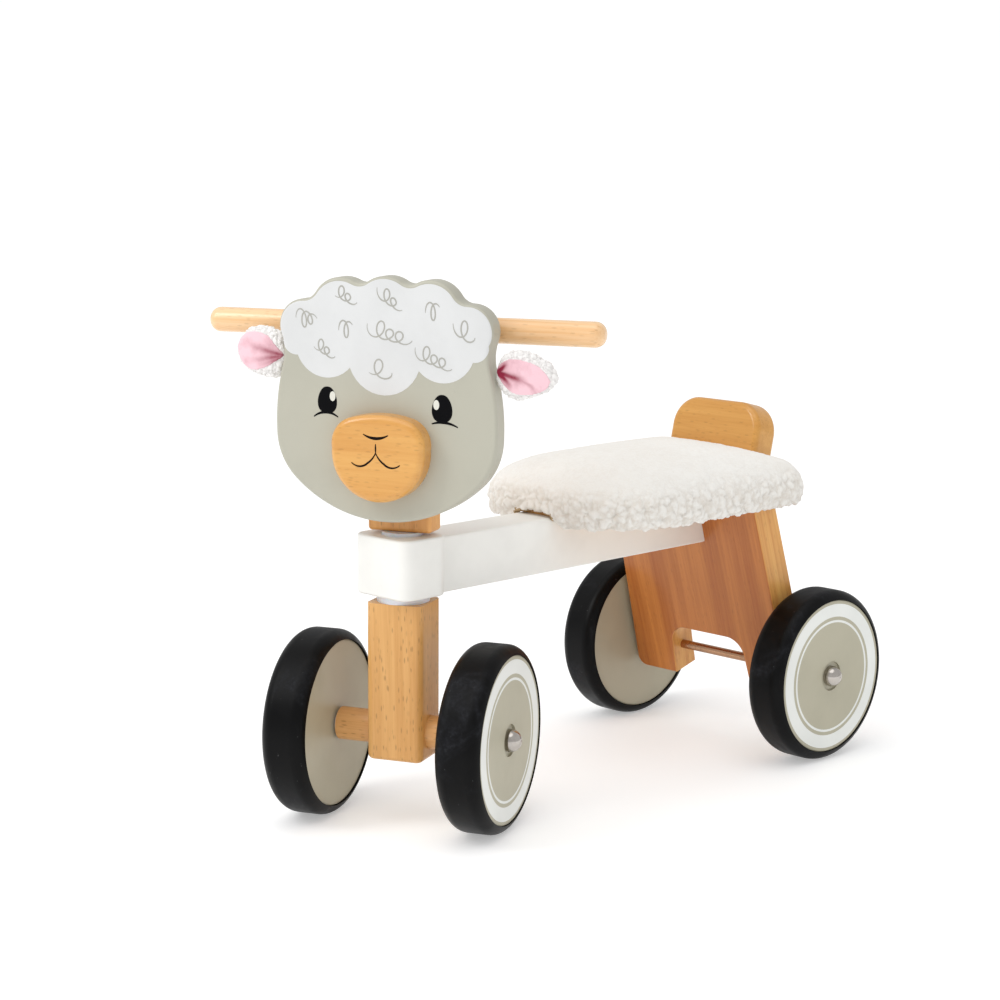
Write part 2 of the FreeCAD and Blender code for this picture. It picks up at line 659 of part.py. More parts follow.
def drill_backrest(rest):
    """Upright holes for the screws that come up through the seat board."""
    for x, y in REST_SCREWS:
        sketch = rest.newObject("Sketcher::SketchObject", "backrest_drill")
        sketch.AttachmentSupport = [(origin_plane(rest, "XY_Plane"), "")]
        sketch.MapMode = "FlatFace"
        spot = "vector((%s + rest_x) * cos(rest_lean); 0; -(%s + rest_x) * sin(rest_lean))" % (x, x)
        bind(sketch, "AttachmentOffset", "placement(%s; rotation(vector(0; 1; 0); rest_lean))" % spot)
        circle(sketch, "0", y, "screw_radius")
        cut(rest, sketch, "rest_screw_reach", backwards=True)


def make_cushion():
    """Fleece-covered pad that wraps over the seat board and leaves room for the backrest."""
    cushion = board("seat_cushion", "-cushion_back", "cushion_front", "-cushion_half",
                    "cushion_half", "cushion_bottom", "cushion_top")
    round_edges(cushion, "cushion_back_corner", lambda e: along(e, 2) and ends(e)[0].x < 0)
    round_edges(cushion, "cushion_corner", lambda e: along(e, 2) and ends(e)[0].x > 0)
    top = size("cushion_top")
    bottom = size("cushion_bottom")
    round_edges(cushion, "cushion_round", lambda e: at_level(e, 2, top))
    round_edges(cushion, "cushion_hem", lambda e: at_level(e, 2, bottom))

    room = new_sketch(cushion, "XY_Plane", "cushion_bottom - 1")
    round_rectangle(room, -size("seat_back"), size("seat_front"), size("seat_half"),
                    size("seat_back_corner"), size("seat_corner"), size("soft_gap"))
    cut(cushion, room, "beam_top + seat_thick + soft_gap - cushion_bottom + 1", backwards=True)
    beam = new_sketch(cushion, "XY_Plane", "cushion_bottom - 1")
    rectangle(beam, "0", "cushion_front + 1", "-beam_half - soft_gap", "beam_half + soft_gap")
    cut(cushion, beam, "beam_top + 2 - cushion_bottom", backwards=True)
    slot = new_sketch(cushion, "XZ_Plane")
    front = "-rest_x + 1"
    polygon(slot, [(front, "beam_top + seat_thick"),
                   (front + " - (cushion_top - beam_top - seat_thick) * tan(rest_lean)",
                    "cushion_top + 1"),
                   ("-cushion_back - 1", "cushion_top + 1"),
                   ("-cushion_back - 1", "beam_top + seat_thick")])
    cut(cushion, slot, "2 * (rest_half + soft_gap)", both_ways=True)


def make_post():
    """Steering post, the dowel through its foot, the spindle and its cross-dowel nuts."""
    post = board("steering_post", "-post_half_depth", "post_half_depth", "-post_half_width",
                 "post_half_width", "post_bottom", "post_top")
    round_edges(post, "post_edge", lambda e: along(e, 2))
    foot = size("post_bottom")
    round_edges(post, "post_foot", lambda e: at_level(e, 2, foot))
    bore(post, "XY_Plane", [("0", "0")], "spindle_radius", "spindle_bottom", "post_top")
    bore(post, "XZ_Plane", [("0", "tyre_radius")], "sleeve_radius", "-post_half_width - 1",
         "post_half_width + 1")
    bore(post, "YZ_Plane", [("0", "post_barrel_z")], "barrel_radius", "-post_half_depth",
         "barrel_reach")
    steered(post)

    sleeve = new_body("front_axle_dowel")
    sketch = new_sketch(sleeve, "YZ_Plane")
    rectangle(sketch, "-sleeve_half", "sleeve_half", "rod_radius", "sleeve_radius")
    revolve(sleeve, sketch)
    steered(sleeve, "tyre_radius")

    spindle = new_body("steering_spindle")
    sketch = new_sketch(spindle, "XY_Plane", "spindle_bottom")
    circle(sketch, "0", "0", "spindle_radius")
    pad(spindle, sketch, "spindle_top - spindle_bottom")
    steered(spindle)

    barrels = new_body("spindle_barrel_nuts")
    sketch = new_sketch(barrels, "YZ_Plane", "-barrel_reach")
    for level in ("post_barrel_z", "neck_barrel_z"):
        circle(sketch, "0", level, "barrel_radius")
    pad(barrels, sketch, "2 * barrel_reach")
    bore(barrels, "XY_Plane", [("0", "0")], "spindle_radius", "post_bottom", "neck_top")
    steered(barrels)

    for label, low, high, radius in (
            ("lower_bearing_washer", "post_top", "block_bottom", "lower_washer_radius"),
            ("upper_bearing_washer", "block_top", "neck_bottom", "upper_washer_radius")):
        washer = new_body(label)
        sketch = new_sketch(washer, "XZ_Plane")
        rectangle(sketch, "spindle_radius", radius, low, high)
        revolve(washer, sketch, "V_Axis")
        steered(washer)


def make_neck():
    """Neck board, the packing board behind the head, the handlebar block and the handlebar."""
    neck = board("neck_board", "-neck_back", "neck_front", "-neck_half", "neck_half",
                 "neck_bottom", "neck_top")
    round_edges(neck, "neck_edge", lambda e: along(e, 2) or at_level(e, 2, size("neck_bottom")))
    bore(neck, "XY_Plane", [("0", "0")], "spindle_radius", "neck_bottom", "spindle_top")
    bore(neck, "YZ_Plane", [("0", "neck_barrel_z")], "barrel_radius", "-neck_back - 1",
         "barrel_reach")
    bore(neck, "YZ_Plane", NECK_SCREWS, "screw_radius", "-neck_back - 1", "neck_front + 1")

    spacer = board("head_spacer", "neck_front", "head_back", "-spacer_half", "spacer_half",
                   "spacer_bottom", "neck_top")
    bore(spacer, "YZ_Plane", NECK_SCREWS, "screw_radius", "neck_front", "head_back")

    block = board("handlebar_block", "-bar_block_back", "head_back", "-bar_block_half",
                  "bar_block_half", "neck_top", "bar_block_top")
    round_edges(block, "post_edge", lambda e: along(e, 2) and ends(e)[0].x < 0)
    round_edges(block, "neck_edge", lambda e: at_level(e, 2, size("bar_block_top")))
    bore(block, "XZ_Plane", [("0", "bar_z")], "bar_radius", "-bar_block_half - 1",
         "bar_block_half + 1")
    bore(block, "YZ_Plane", BLOCK_SCREWS, "screw_radius", "-bar_block_back", "head_back")
    bore(block, "YZ_Plane", BAR_SCREW, "screw_radius", "-bar_block_back", "0")

    bar = new_body("handlebar")
    sketch = new_sketch(bar, "YZ_Plane")
    ring = "bar_block_half + bar_ring_gap"
    waist = "bar_radius - bar_ring_deep"
    half = [(ring, "bar_radius"), (ring, waist), (ring + " + bar_ring_wide", waist),
            (ring + " + bar_ring_wide", "bar_radius"), ("bar_half", "bar_radius"), ("bar_half", "0")]
    polygon(sketch, [("-(%s)" % across, up) for across, up in reversed(half)] + half)
    revolve(bar, sketch)
    reach = size("bar_half")
    round_edges(bar, "bar_end_round",
                lambda e: at_level(e, 1, reach) or at_level(e, 1, -reach))
    bore(bar, "YZ_Plane", BAR_SCREW_IN_BAR, "screw_radius", "-bar_radius - 1", "bar_screw_tip")
    steered(bar, "bar_z")

    screw_set("neck_screws", "YZ_Plane", NECK_SCREWS, "-neck_back", "head_back + head_screw_reach")
    screw_set("head_screws", "YZ_Plane", BLOCK_SCREWS, "-bar_block_back",
              "head_back + head_screw_reach")
    screw_set("handlebar_screw", "YZ_Plane", BAR_SCREW, "-bar_block_back", "bar_screw_tip")
    for label in ("neck_board", "head_spacer", "handlebar_block", "neck_screws", "head_screws",
                  "handlebar_screw"):
        steered(doc.getObject(label))


def crossing(first, first_radius, second, second_radius):
    """Upper point where two circles cross, the second being further left."""
    run = second[0] - first[0]
    rise = second[1] - first[1]
    apart = math.hypot(run, rise)
    reach = (first_radius ** 2 - second_radius ** 2 + apart ** 2) / (2 * apart)
    side = math.sqrt(first_radius ** 2 - reach ** 2)
    return (first[0] + (reach * run + side * rise) / apart,
            first[1] + (reach * rise - side * run) / apart)


def on_circle(centre, radius, degrees):
    angle = math.radians(degrees)
    return (centre[0] + radius * math.cos(angle), centre[1] + radius * math.sin(angle))


def head_arcs():
    """Outline of the head: chin, cheeks, temples and five bumps of wool along the top."""
    chin_z = size("head_bottom") + size("chin_radius")
    reach = size("chin_reach")
    jaw = (reach, chin_z - math.sqrt(size("chin_radius") ** 2 - reach ** 2))
    slope = math.degrees(math.atan2(jaw[1] - chin_z, jaw[0]))
    cheek = (size("head_half") - size("cheek_radius"), size("cheek_z"))
    cheek_top = (size("head_half"), size("cheek_z"))
    jaw_on_cheek = on_circle(cheek, size("cheek_radius"), slope / 2)
    outer_valley = crossing(OUTER_CURL, size("outer_curl_radius"), SIDE_CURL, size("curl_radius"))
    inner_valley = crossing(SIDE_CURL, size("curl_radius"), TOP_CURL, size("top_curl_radius"))
    right = [
        (jaw, jaw_on_cheek, cheek_top),
        (cheek_top, CHEEK_TO_TEMPLE, TEMPLE[0]),
        tuple(TEMPLE),
        (TEMPLE[2], on_circle(OUTER_CURL, size("outer_curl_radius"), 40), outer_valley),
        (outer_valley, on_circle(SIDE_CURL, size("curl_radius"), 80), inner_valley),
    ]

    def mirrored(spot):
        return (-spot[0], spot[1])
    left = [tuple(mirrored(spot) for spot in reversed(arc)) for arc in reversed(right)]
    top = (inner_valley, on_circle(TOP_CURL, size("top_curl_radius"), 90), mirrored(inner_valley))
    chin = (mirrored(jaw), (0, size("head_bottom")), jaw)
    return right + [top] + left + [chin], (inner_valley, outer_valley)


def make_head():
    """Head board, snout and the screws between them."""
    head = new_body("head_board")
    sketch = new_sketch(head, "YZ_Plane", "head_back")
    arcs, valleys = head_arcs()
    arc_outline(sketch, arcs)
    pad(head, sketch, "head_thick")

    def in_valley(edge):
        spot = ends(edge)[0]
        return along(edge, 0) and any(abs(abs(spot.y) - v[0]) < 0.2 and abs(spot.z - v[1]) < 0.2
                                      for v in valleys)
    round_edges(head, "valley_round", in_valley)
    back = size("head_back")
    front = back + size("head_thick")
    round_edges(head, "head_edge", lambda e: at_level(e, 0, back) or at_level(e, 0, front))
    bore(head, "YZ_Plane", NECK_SCREWS + BLOCK_SCREWS, "screw_radius", "head_back - 1",
         "head_back + head_screw_reach")
    bore(head, "YZ_Plane", SNOUT_SCREWS, "screw_head + 0.4", "head_back - 1",
         "head_back + snout_screw_sink")
    bore(head, "YZ_Plane", SNOUT_SCREWS, "screw_radius", "head_back", "head_back + head_thick + 1")

    snout = new_body("snout")
    sketch = new_sketch(snout, "YZ_Plane", "head_back + head_thick")
    right = [tuple(arc) for arc in SNOUT_ARCS]
    left = [tuple((-a, b) for a, b in reversed(arc)) for arc in reversed(SNOUT_ARCS)]
    chin = [((-SNOUT_CHIN[0][0], SNOUT_CHIN[0][1]), SNOUT_CHIN[1], SNOUT_CHIN[0])]
    brow = [(SNOUT_BROW[0], SNOUT_BROW[1], (-SNOUT_BROW[0][0], SNOUT_BROW[0][1]))]
    arc_outline(sketch, right + brow + left + chin)
    pad(snout, sketch, "snout_thick")
    front += size("snout_thick")
    round_edges(snout, "snout_edge", lambda e: at_level(e, 0, front))
    bore(snout, "YZ_Plane", SNOUT_SCREWS, "screw_radius", "head_back + head_thick - 1",
         "head_back + head_thick + snout_screw_reach")
    screws = screw_set("snout_screws", "YZ_Plane", SNOUT_SCREWS, "head_back + snout_screw_sink",
                       "head_back + head_thick + snout_screw_reach")
    for body in (head, snout, screws):
        steered(body)


def make_ears():
    """Plush ears at the temples: plain closed pads."""
    for label, across in (("ear_left", "ear_across"), ("ear_right", "-ear_across")):
        ear = new_body(label)
        pad_shape = ear.newObject("PartDesign::AdditiveEllipsoid", label + "_pad")
        pad_shape.AttachmentSupport = [(origin_plane(ear, "XY_Plane"), "")]
        pad_shape.MapMode = "FlatFace"
        bind(pad_shape, "AttachmentOffset.Base.x", "ear_middle")
        bind(pad_shape, "AttachmentOffset.Base.y", across)
        bind(pad_shape, "AttachmentOffset.Base.z", "ear_z")
        bind(pad_shape, "Radius1", "ear_half_high")
        bind(pad_shape, "Radius2", "ear_half_thick")
        bind(pad_shape, "Radius3", "ear_half_wide")
        steered(ear)


def check_and_write():
    doc.recompute()
    for thing in doc.Objects:
        if "Invalid" in thing.State or "Error" in thing.State:
            raise RuntimeError(thing.Label + ": " + ", ".join(thing.State))
    os.makedirs(OUT_FOLDER, exist_ok=True)
    whole = FreeCAD.BoundBox()
    for node in nodes:
        shape = node.Shape
        if shape.isNull() or not shape.isValid():
            raise RuntimeError(node.Label + ": shape is missing or not valid")
        whole.add(shape.BoundBox)
        shape.exportStep(os.path.join(OUT_FOLDER, node.Label + ".step"))
        print("%-24s %2d solid(s) %10.0f mm3" % (node.Label, len(shape.Solids), shape.Volume))
    print(len(nodes), "nodes, box", whole)


make_steering_block()
make_beam()
make_rear_panel()
make_seat()
make_cushion()
make_post()
make_neck()
make_head()
make_ears()
make_axle("rear", "rear_track", "steer_x - wheelbase", "0", "rear_washer_start")
make_axle("front", "front_track", "steer_x", "steer_angle", "sleeve_half")
for side, flip in (("left", "0"), ("right", "180")):
    make_wheel("front_%s" % side, "front_track", "steer_x", flip + " + steer_angle")
    make_wheel("rear_%s" % side, "rear_track", "steer_x - wheelbase", flip)
check_and_write()
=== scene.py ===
"""Looks of a wooden balance bike with a sheep's head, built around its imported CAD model.

Metres, in the model's own frame: +X forwards, +Y to the rider's left, +Z up, floor at 0.
Whatever is on the head is drawn in the steering frame, which looks straight ahead from the
steering axis, and is then turned with the handlebar.
"""
import json
import math
import random

import bmesh
import bpy
import numpy as np
from mathutils import Matrix, Vector, geometry, noise
from mathutils.bvhtree import BVHTree


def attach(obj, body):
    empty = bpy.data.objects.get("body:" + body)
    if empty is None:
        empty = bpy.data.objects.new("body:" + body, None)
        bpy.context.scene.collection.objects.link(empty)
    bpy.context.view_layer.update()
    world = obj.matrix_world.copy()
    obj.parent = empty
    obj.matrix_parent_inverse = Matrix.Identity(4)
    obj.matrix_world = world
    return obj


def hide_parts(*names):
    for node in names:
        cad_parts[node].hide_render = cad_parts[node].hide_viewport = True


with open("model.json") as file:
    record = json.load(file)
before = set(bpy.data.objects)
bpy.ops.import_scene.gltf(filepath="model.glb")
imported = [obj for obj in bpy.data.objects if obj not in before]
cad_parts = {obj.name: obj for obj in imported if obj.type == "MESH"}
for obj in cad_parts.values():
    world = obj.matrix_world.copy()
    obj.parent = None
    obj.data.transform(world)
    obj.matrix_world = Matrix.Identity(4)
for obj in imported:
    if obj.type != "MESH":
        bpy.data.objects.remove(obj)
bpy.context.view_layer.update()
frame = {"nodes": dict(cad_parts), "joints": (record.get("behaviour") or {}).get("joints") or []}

NODES = frame["nodes"]
JOINTS = {joint["name"]: joint for joint in frame["joints"]}
SCENE = bpy.context.scene
MM = 0.001


# ---------------------------------------------------------------------------------------------
# Places read from the CAD model
# ---------------------------------------------------------------------------------------------

def steering_frame():
    """Matrix from the steering frame to the model's frame."""
    axle = JOINTS["front_left_wheel_spin"]["axis"]
    pivot = JOINTS["steering"]["pos_m"]
    turn = Matrix.Rotation(math.atan2(-axle[0], axle[1]), 4, "Z")
    return Matrix.Translation((pivot[0], pivot[1], 0)) @ turn


STEERING = steering_frame()


def points_of(node, inside=None):
    """Vertices of a CAD node as an array, in the model's frame or in another one."""
    spots = np.array([v.co for v in NODES[node].data.vertices])
    if inside is None:
        return spots
    back = np.array(inside.inverted())
    return spots @ back[:3, :3].T + back[:3, 3]


def extent(node, inside=None):
    spots = points_of(node, inside)
    return spots.min(0), spots.max(0)


def tree_of(node, inside):
    """Ray casting tree of a CAD node, in another frame."""
    mesh = NODES[node].data
    back = inside.inverted()
    corners = [back @ v.co for v in mesh.vertices]
    return BVHTree.FromPolygons(corners, [p.vertices for p in mesh.polygons])


# ---------------------------------------------------------------------------------------------
# Shader nodes
# ---------------------------------------------------------------------------------------------

class Look:
    """A Principled material and a short way to add nodes to it."""

    def __init__(self, name, **sockets):
        self.material = bpy.data.materials.new(name)
        self.material.use_nodes = True
        self.tree = self.material.node_tree
        self.surface = self.tree.nodes["Principled BSDF"]
        for label, value in sockets.items():
            self.surface.inputs[label.replace("_", " ")].default_value = value

    def add(self, kind, inputs=None, **settings):
        node = self.tree.nodes.new("ShaderNode" + kind)
        for label, value in settings.items():
            setattr(node, label, value)
        for key, value in (inputs or {}).items():
            self.feed(node.inputs[key], value)
        return node

    def feed(self, socket, value):
        if isinstance(value, bpy.types.NodeSocket):
            self.tree.links.new(value, socket)
        else:
            socket.default_value = value

    def place(self):
        return self.add("TexCoord").outputs["Object"]

    def mapped(self, vector, scale=(1, 1, 1), turn=(0, 0, 0), shift=(0, 0, 0)):
        inputs = {"Vector": vector, "Scale": scale, "Rotation": turn, "Location": shift}
        return self.add("Mapping", inputs).outputs["Vector"]

    def noise(self, vector, scale, detail=4.0, rough=0.55, warp=0.0):
        inputs = {"Vector": vector, "Scale": scale, "Detail": detail, "Roughness": rough,
                  "Distortion": warp}
        return self.add("TexNoise", inputs).outputs["Fac"]

    def math(self, operation, first, second=0.0, clamp=False):
        node = self.add("Math", {0: first, 1: second}, operation=operation, use_clamp=clamp)
        return node.outputs[0]

    def ramp(self, value, low, high, start=0.0, finish=1.0):
        """Value carried from low..high to start..finish, smoothly and within them."""
        inputs = {"Value": value, "From Min": low, "From Max": high, "To Min": start,
                  "To Max": finish}
        return self.add("MapRange", inputs, interpolation_type="SMOOTHSTEP").outputs["Result"]

    def mix(self, share, first, second, blend="MIX"):
        node = self.add("Mix", data_type="RGBA", blend_type=blend)
        self.feed(node.inputs["Factor"], share)
        self.feed(node.inputs[6], first)
        self.feed(node.inputs[7], second)
        return node.outputs[2]

    def bump(self, height, depth, strength=1.0):
        inputs = {"Height": height, "Distance": depth, "Strength": strength}
        normal = self.add("Bump", inputs).outputs["Normal"]
        self.feed(self.surface.inputs["Normal"], normal)

    def color(self, value):
        self.feed(self.surface.inputs["Base Color"], value)

    def roughness(self, value):
        self.feed(self.surface.inputs["Roughness"], value)


def rgb(red, green, blue):
    """Linear colour of an 8-bit screen colour."""
    def linear(part):
        part /= 255
        return part / 12.92 if part <= 0.04045 else ((part + 0.055) / 1.055) ** 2.4
    return (linear(red), linear(green), linear(blue), 1.0)


def beech(name, along, light, dark, seed, flecks=0.5, shine=0.35, edge=None):
    """Lacquered beech: soft growth bands, fine pores and short ray flecks along the grain."""
    look = Look(name, Coat_Weight=shine, Coat_Roughness=0.18, Specular_IOR_Level=0.3)
    chance = random.Random(seed)
    turn = Vector(along).rotation_difference(Vector((1, 0, 0))).to_euler()
    tilt = (turn.x, turn.y + 0.02, turn.z + 0.03)
    shift = [chance.uniform(-0.5, 0.5) for _ in range(3)]
    grain = look.mapped(look.place(), turn=tilt, shift=shift)

    bands = look.noise(look.mapped(grain, (2.2, 48, 48)), 1.0, 2.0, 0.5, 0.5)
    lines = look.noise(look.mapped(grain, (5, 330, 330)), 1.0, 3.0, 0.6)
    streaks = look.noise(look.mapped(grain, (11, 1100, 1100)), 1.0, 3.0, 0.6)
    pores = look.noise(look.mapped(grain, (55, 2200, 2200)), 1.0, 3.0, 0.65)
    cells = look.add("TexVoronoi", {"Vector": look.mapped(grain, (125, 470, 470)), "Scale": 1.0,
                                    "Randomness": 1.0})
    keep = look.add("SeparateColor", {"Color": cells.outputs["Color"]}).outputs["Red"]
    fleck = look.math("MULTIPLY", look.ramp(cells.outputs["Distance"], 0.12, 0.42, 1.0, 0.0),
                      look.ramp(keep, 0.25, 0.85))

    tone = look.math("ADD", look.ramp(bands, 0.34, 0.66, 0.0, 0.5), look.ramp(lines, 0.3, 0.7, 0.0, 0.32))
    tone = look.math("ADD", tone, look.ramp(streaks, 0.3, 0.7, 0.0, 0.18))
    wood = look.mix(tone, light, dark)
    # Faces turned to Y can take a lighter edge colour: painted light on the sides, against front colours
    # that carry painted shade.
    if edge:
        facing = look.add("SeparateXYZ", {0: look.add("TexCoord").outputs["Normal"]}).outputs["Y"]
        lit_side = look.ramp(look.math("ABSOLUTE", facing), 0.6, 0.85)
        wood = look.mix(lit_side, wood, look.mix(tone, edge, light))
    ray = tuple(0.50 * part for part in dark[:3]) + (1.0,)
    look.color(look.mix(look.math("MULTIPLY", fleck, flecks), wood, ray))
    look.roughness(look.ramp(pores, 0.3, 0.8, 0.36, 0.52))
    height = look.math("SUBTRACT", look.math("MULTIPLY", pores, 0.5), look.math("MULTIPLY", fleck, 0.6))
    look.bump(height, 0.04 * MM, 0.5)
    return look.material


def painted(name, tint, rough=0.4, wear=0.5):
    """Satin lacquer on wood: faint orange peel, grain that shows through and small marks."""
    look = Look(name, Coat_Weight=0.12, Coat_Roughness=0.3)
    place = look.place()
    patches = look.noise(place, 14.0, 4.0, 0.6)
    peel = look.noise(place, 420.0, 2.0, 0.5)
    grain = look.noise(look.mapped(place, (60, 900, 60)), 1.0, 3.0, 0.6)
    marks = look.ramp(look.noise(look.mapped(place, (900, 160, 240)), 1.0, 2.0, 0.4), 0.70, 0.78)
    deep = tuple(0.93 * part for part in tint[:3]) + (1.0,)
    dull = tuple(0.82 * part for part in tint[:3]) + (1.0,)
    coat = look.mix(look.ramp(patches, 0.35, 0.7), tint, deep)
    look.color(look.mix(look.math("MULTIPLY", marks, 0.35 * wear), coat, dull))
    look.roughness(look.ramp(patches, 0.3, 0.75, rough - 0.04, rough + 0.08))
    look.bump(look.math("ADD", peel, look.math("MULTIPLY", grain, 0.5)), 0.03 * MM, 0.5)
    return look.material


def ink(name, tint, rough=0.45):
    """Screen-printed paint: a thin even film with a slightly grainy surface."""
    look = Look(name, Specular_IOR_Level=0.08)
    place = look.place()
    grain = look.noise(place, 1500.0, 2.0, 0.6)
    patches = look.noise(place, 40.0, 3.0, 0.6)
    shade = tuple(0.9 * part for part in tint[:3]) + (1.0,)
    look.color(look.mix(look.ramp(patches, 0.4, 0.75, 0.0, 0.5), tint, shade))
    look.roughness(look.ramp(grain, 0.3, 0.7, rough - 0.05, rough + 0.1))
    look.bump(grain, 0.01 * MM, 0.4)
    return look.material


def rubber(name):
    """Satin black rubber with cloudy scuffs, dust and a few nicks."""
    look = Look(name, Specular_IOR_Level=0.13)
    place = look.place()
    clouds = look.noise(place, 26.0, 5.0, 0.62, 0.6)
    dust = look.noise(place, 300.0, 4.0, 0.7)
    nicks = look.ramp(look.noise(look.mapped(place, (160, 500, 260)), 1.0, 3.0, 0.5), 0.71, 0.77)
    worn = look.math("MULTIPLY", look.ramp(clouds, 0.5, 0.8), look.ramp(dust, 0.35, 0.7, 0.3, 1.0))
    body = look.mix(worn, rgb(3, 3, 4), rgb(42, 43, 48))
    look.color(look.mix(look.math("MULTIPLY", nicks, 0.5), body, rgb(84, 84, 84)))
    look.roughness(look.ramp(clouds, 0.35, 0.75, 0.34, 0.58))
    look.bump(look.math("ADD", dust, look.math("MULTIPLY", nicks, -0.8)), 0.05 * MM, 0.5)
    return look.material


def metal(name, tint, rough, brushed=(900, 30, 900)):
    """Turned and plated steel with fine tool lines and finger smudges."""
    look = Look(name, Metallic=1.0, Base_Color=tint)
    place = look.place()
    lines = look.noise(look.mapped(place, brushed), 1.0, 3.0, 0.6)
    smudge = look.noise(place, 90.0, 4.0, 0.6)
    dim = tuple(0.8 * part for part in tint[:3]) + (1.0,)
    look.color(look.mix(look.ramp(smudge, 0.4, 0.75), tint, dim))
    look.roughness(look.ramp(smudge, 0.3, 0.75, rough, rough + 0.12))
    look.bump(lines, 0.01 * MM, 0.35)
    return look.material


def nylon(name, tint):
    """Natural nylon: milky and faintly marked by moulding."""
    look = Look(name, Subsurface_Weight=0.2, Subsurface_Scale=0.002)
    place = look.place()
    milk = look.noise(place, 160.0, 3.0, 0.5)
    shade = tuple(0.88 * part for part in tint[:3]) + (1.0,)
    look.color(look.mix(milk, tint, shade))
    look.roughness(look.ramp(milk, 0.3, 0.7, 0.38, 0.5))
    look.bump(milk, 0.02 * MM, 0.4)
    return look.material


def fleece_cloth(name, tuft, hollow):
    """Curly pile: pale tips, painted shade in the hollows and at the low points of the fine curls (darker
    and warmer), with fine fibres.
    """
    look = Look(name, Sheen_Weight=0.25, Sheen_Roughness=0.6, Specular_IOR_Level=0.08)
    place = look.place()
    depth = look.add("Attribute", attribute_name="hollow").outputs["Fac"]
    curls = look.noise(place, 330.0, 3.0, 0.6, 1.6)
    fibres = look.noise(place, 1300.0, 3.0, 0.7, 1.5)
    patches = look.noise(place, 24.0, 3.0, 0.6)
    # Painted shade: the hollow colour comes in with the stored hollow depth and where the fine curl bump
    # is low.
    shade = look.math("ADD", depth, look.ramp(curls, 0.35, 0.7, 0.14, -0.08))
    shade = look.math("ADD", shade, look.ramp(patches, 0.3, 0.75, -0.06, 0.14), clamp=True)
    look.color(look.mix(shade, tuft, hollow))
    look.roughness(look.ramp(fibres, 0.3, 0.7, 0.82, 0.98))
    look.bump(look.math("ADD", curls, look.math("MULTIPLY", fibres, 0.6)), 0.4 * MM, 0.5)
    return look.material


def velour(name, tint, fold_shade):
    """Short-pile lining with painted shade, a deeper pink, in its folds and near where it is sewn on."""
    look = Look(name, Sheen_Weight=0.4, Sheen_Roughness=0.45, Specular_IOR_Level=0.15)
    place = look.place()
    depth = look.add("Attribute", attribute_name="hollow").outputs["Fac"]
    pile = look.noise(place, 1400.0, 3.0, 0.65)
    patches = look.noise(place, 120.0, 3.0, 0.6)
    # Painted shade: the fold colour comes in where the stored crease and root shade is high.
    shade = look.math("ADD", depth, look.ramp(patches, 0.35, 0.75, -0.08, 0.12), clamp=True)
    look.color(look.mix(shade, tint, fold_shade))
    look.roughness(look.ramp(pile, 0.3, 0.7, 0.75, 0.95))
    look.bump(pile, 0.15 * MM, 0.6)
    return look.material


def backing(name, tint):
    """Tan knitted backing of the fleece, seen at its turned-in hem; its dark tan also carries painted
    shade from under the cushion.
    """
    look = Look(name, Specular_IOR_Level=0.1)
    place = look.place()
    knit = look.add("TexWave", {"Vector": place, "Scale": 260.0, "Distortion": 2.5, "Detail": 2.0},
                    wave_type="BANDS", bands_direction="DIAGONAL").outputs["Fac"]
    wool = look.noise(place, 700.0, 4.0, 0.7)
    shade = tuple(0.6 * part for part in tint[:3]) + (1.0,)
    look.color(look.mix(look.ramp(wool, 0.35, 0.7), tint, shade))
    look.roughness(look.ramp(wool, 0.3, 0.7, 0.85, 0.97))
    look.bump(look.math("ADD", knit, wool), 0.3 * MM, 0.7)
    return look.material


# ---------------------------------------------------------------------------------------------
# Mesh helpers
# ---------------------------------------------------------------------------------------------

def new_object(name, mesh, *looks):
    thing = bpy.data.objects.new(name, mesh)
    SCENE.collection.objects.link(thing)
    for look in looks:
        thing.data.materials.append(look)
    return thing


def mesh_from(name, spots, faces, smooth=True):
    mesh = bpy.data.meshes.new(name)
    mesh.from_pydata([tuple(spot) for spot in spots], [], faces)
    mesh.update()
    work = bmesh.new()
    work.from_mesh(mesh)
    bmesh.ops.recalc_face_normals(work, faces=work.faces)
    work.to_mesh(mesh)
    work.free()
    for polygon in mesh.polygons:
        polygon.use_smooth = smooth
    return mesh


def applied(thing):
    """Replaces an object's mesh with what its modifiers make of it."""
    graph = bpy.context.evaluated_depsgraph_get()
    mesh = bpy.data.meshes.new_from_object(thing.evaluated_get(graph))
    thing.modifiers.clear()
    thing.data = mesh


def remeshed(thing, voxel):
    """Even quads over a closed form."""
    step = thing.modifiers.new("Remesh", "REMESH")
    step.mode = "VOXEL"
    step.voxel_size = voxel
    applied(thing)


def subdivided(thing, levels):
    step = thing.modifiers.new("Subdivision", "SUBSURF")
    step.levels = levels
    step.render_levels = levels
    applied(thing)
    for polygon in thing.data.polygons:
        polygon.use_smooth = True


def coordinates(thing):
    flat = np.empty(3 * len(thing.data.vertices))
    thing.data.vertices.foreach_get("co", flat)
    return flat.reshape(-1, 3)


def set_coordinates(thing, spots):
    thing.data.vertices.foreach_set("co", np.asarray(spots, float).ravel())
    thing.data.update()


def normals(thing):
    flat = np.empty(3 * len(thing.data.vertices))
    thing.data.vertex_normals.foreach_get("vector", flat)
    return flat.reshape(-1, 3)


def neighbour_mean(thing, values):
    """Mean of each vertex's neighbours' values."""
    edges = np.empty(2 * len(thing.data.edges), int)
    thing.data.edges.foreach_get("vertices", edges)
    edges = edges.reshape(-1, 2)
    total = np.zeros_like(values)
    count = np.zeros(len(values))
    for one, other in ((0, 1), (1, 0)):
        np.add.at(total, edges[:, one], values[edges[:, other]])
        np.add.at(count, edges[:, one], 1)
    return total / count.reshape((-1,) + (1,) * (values.ndim - 1))


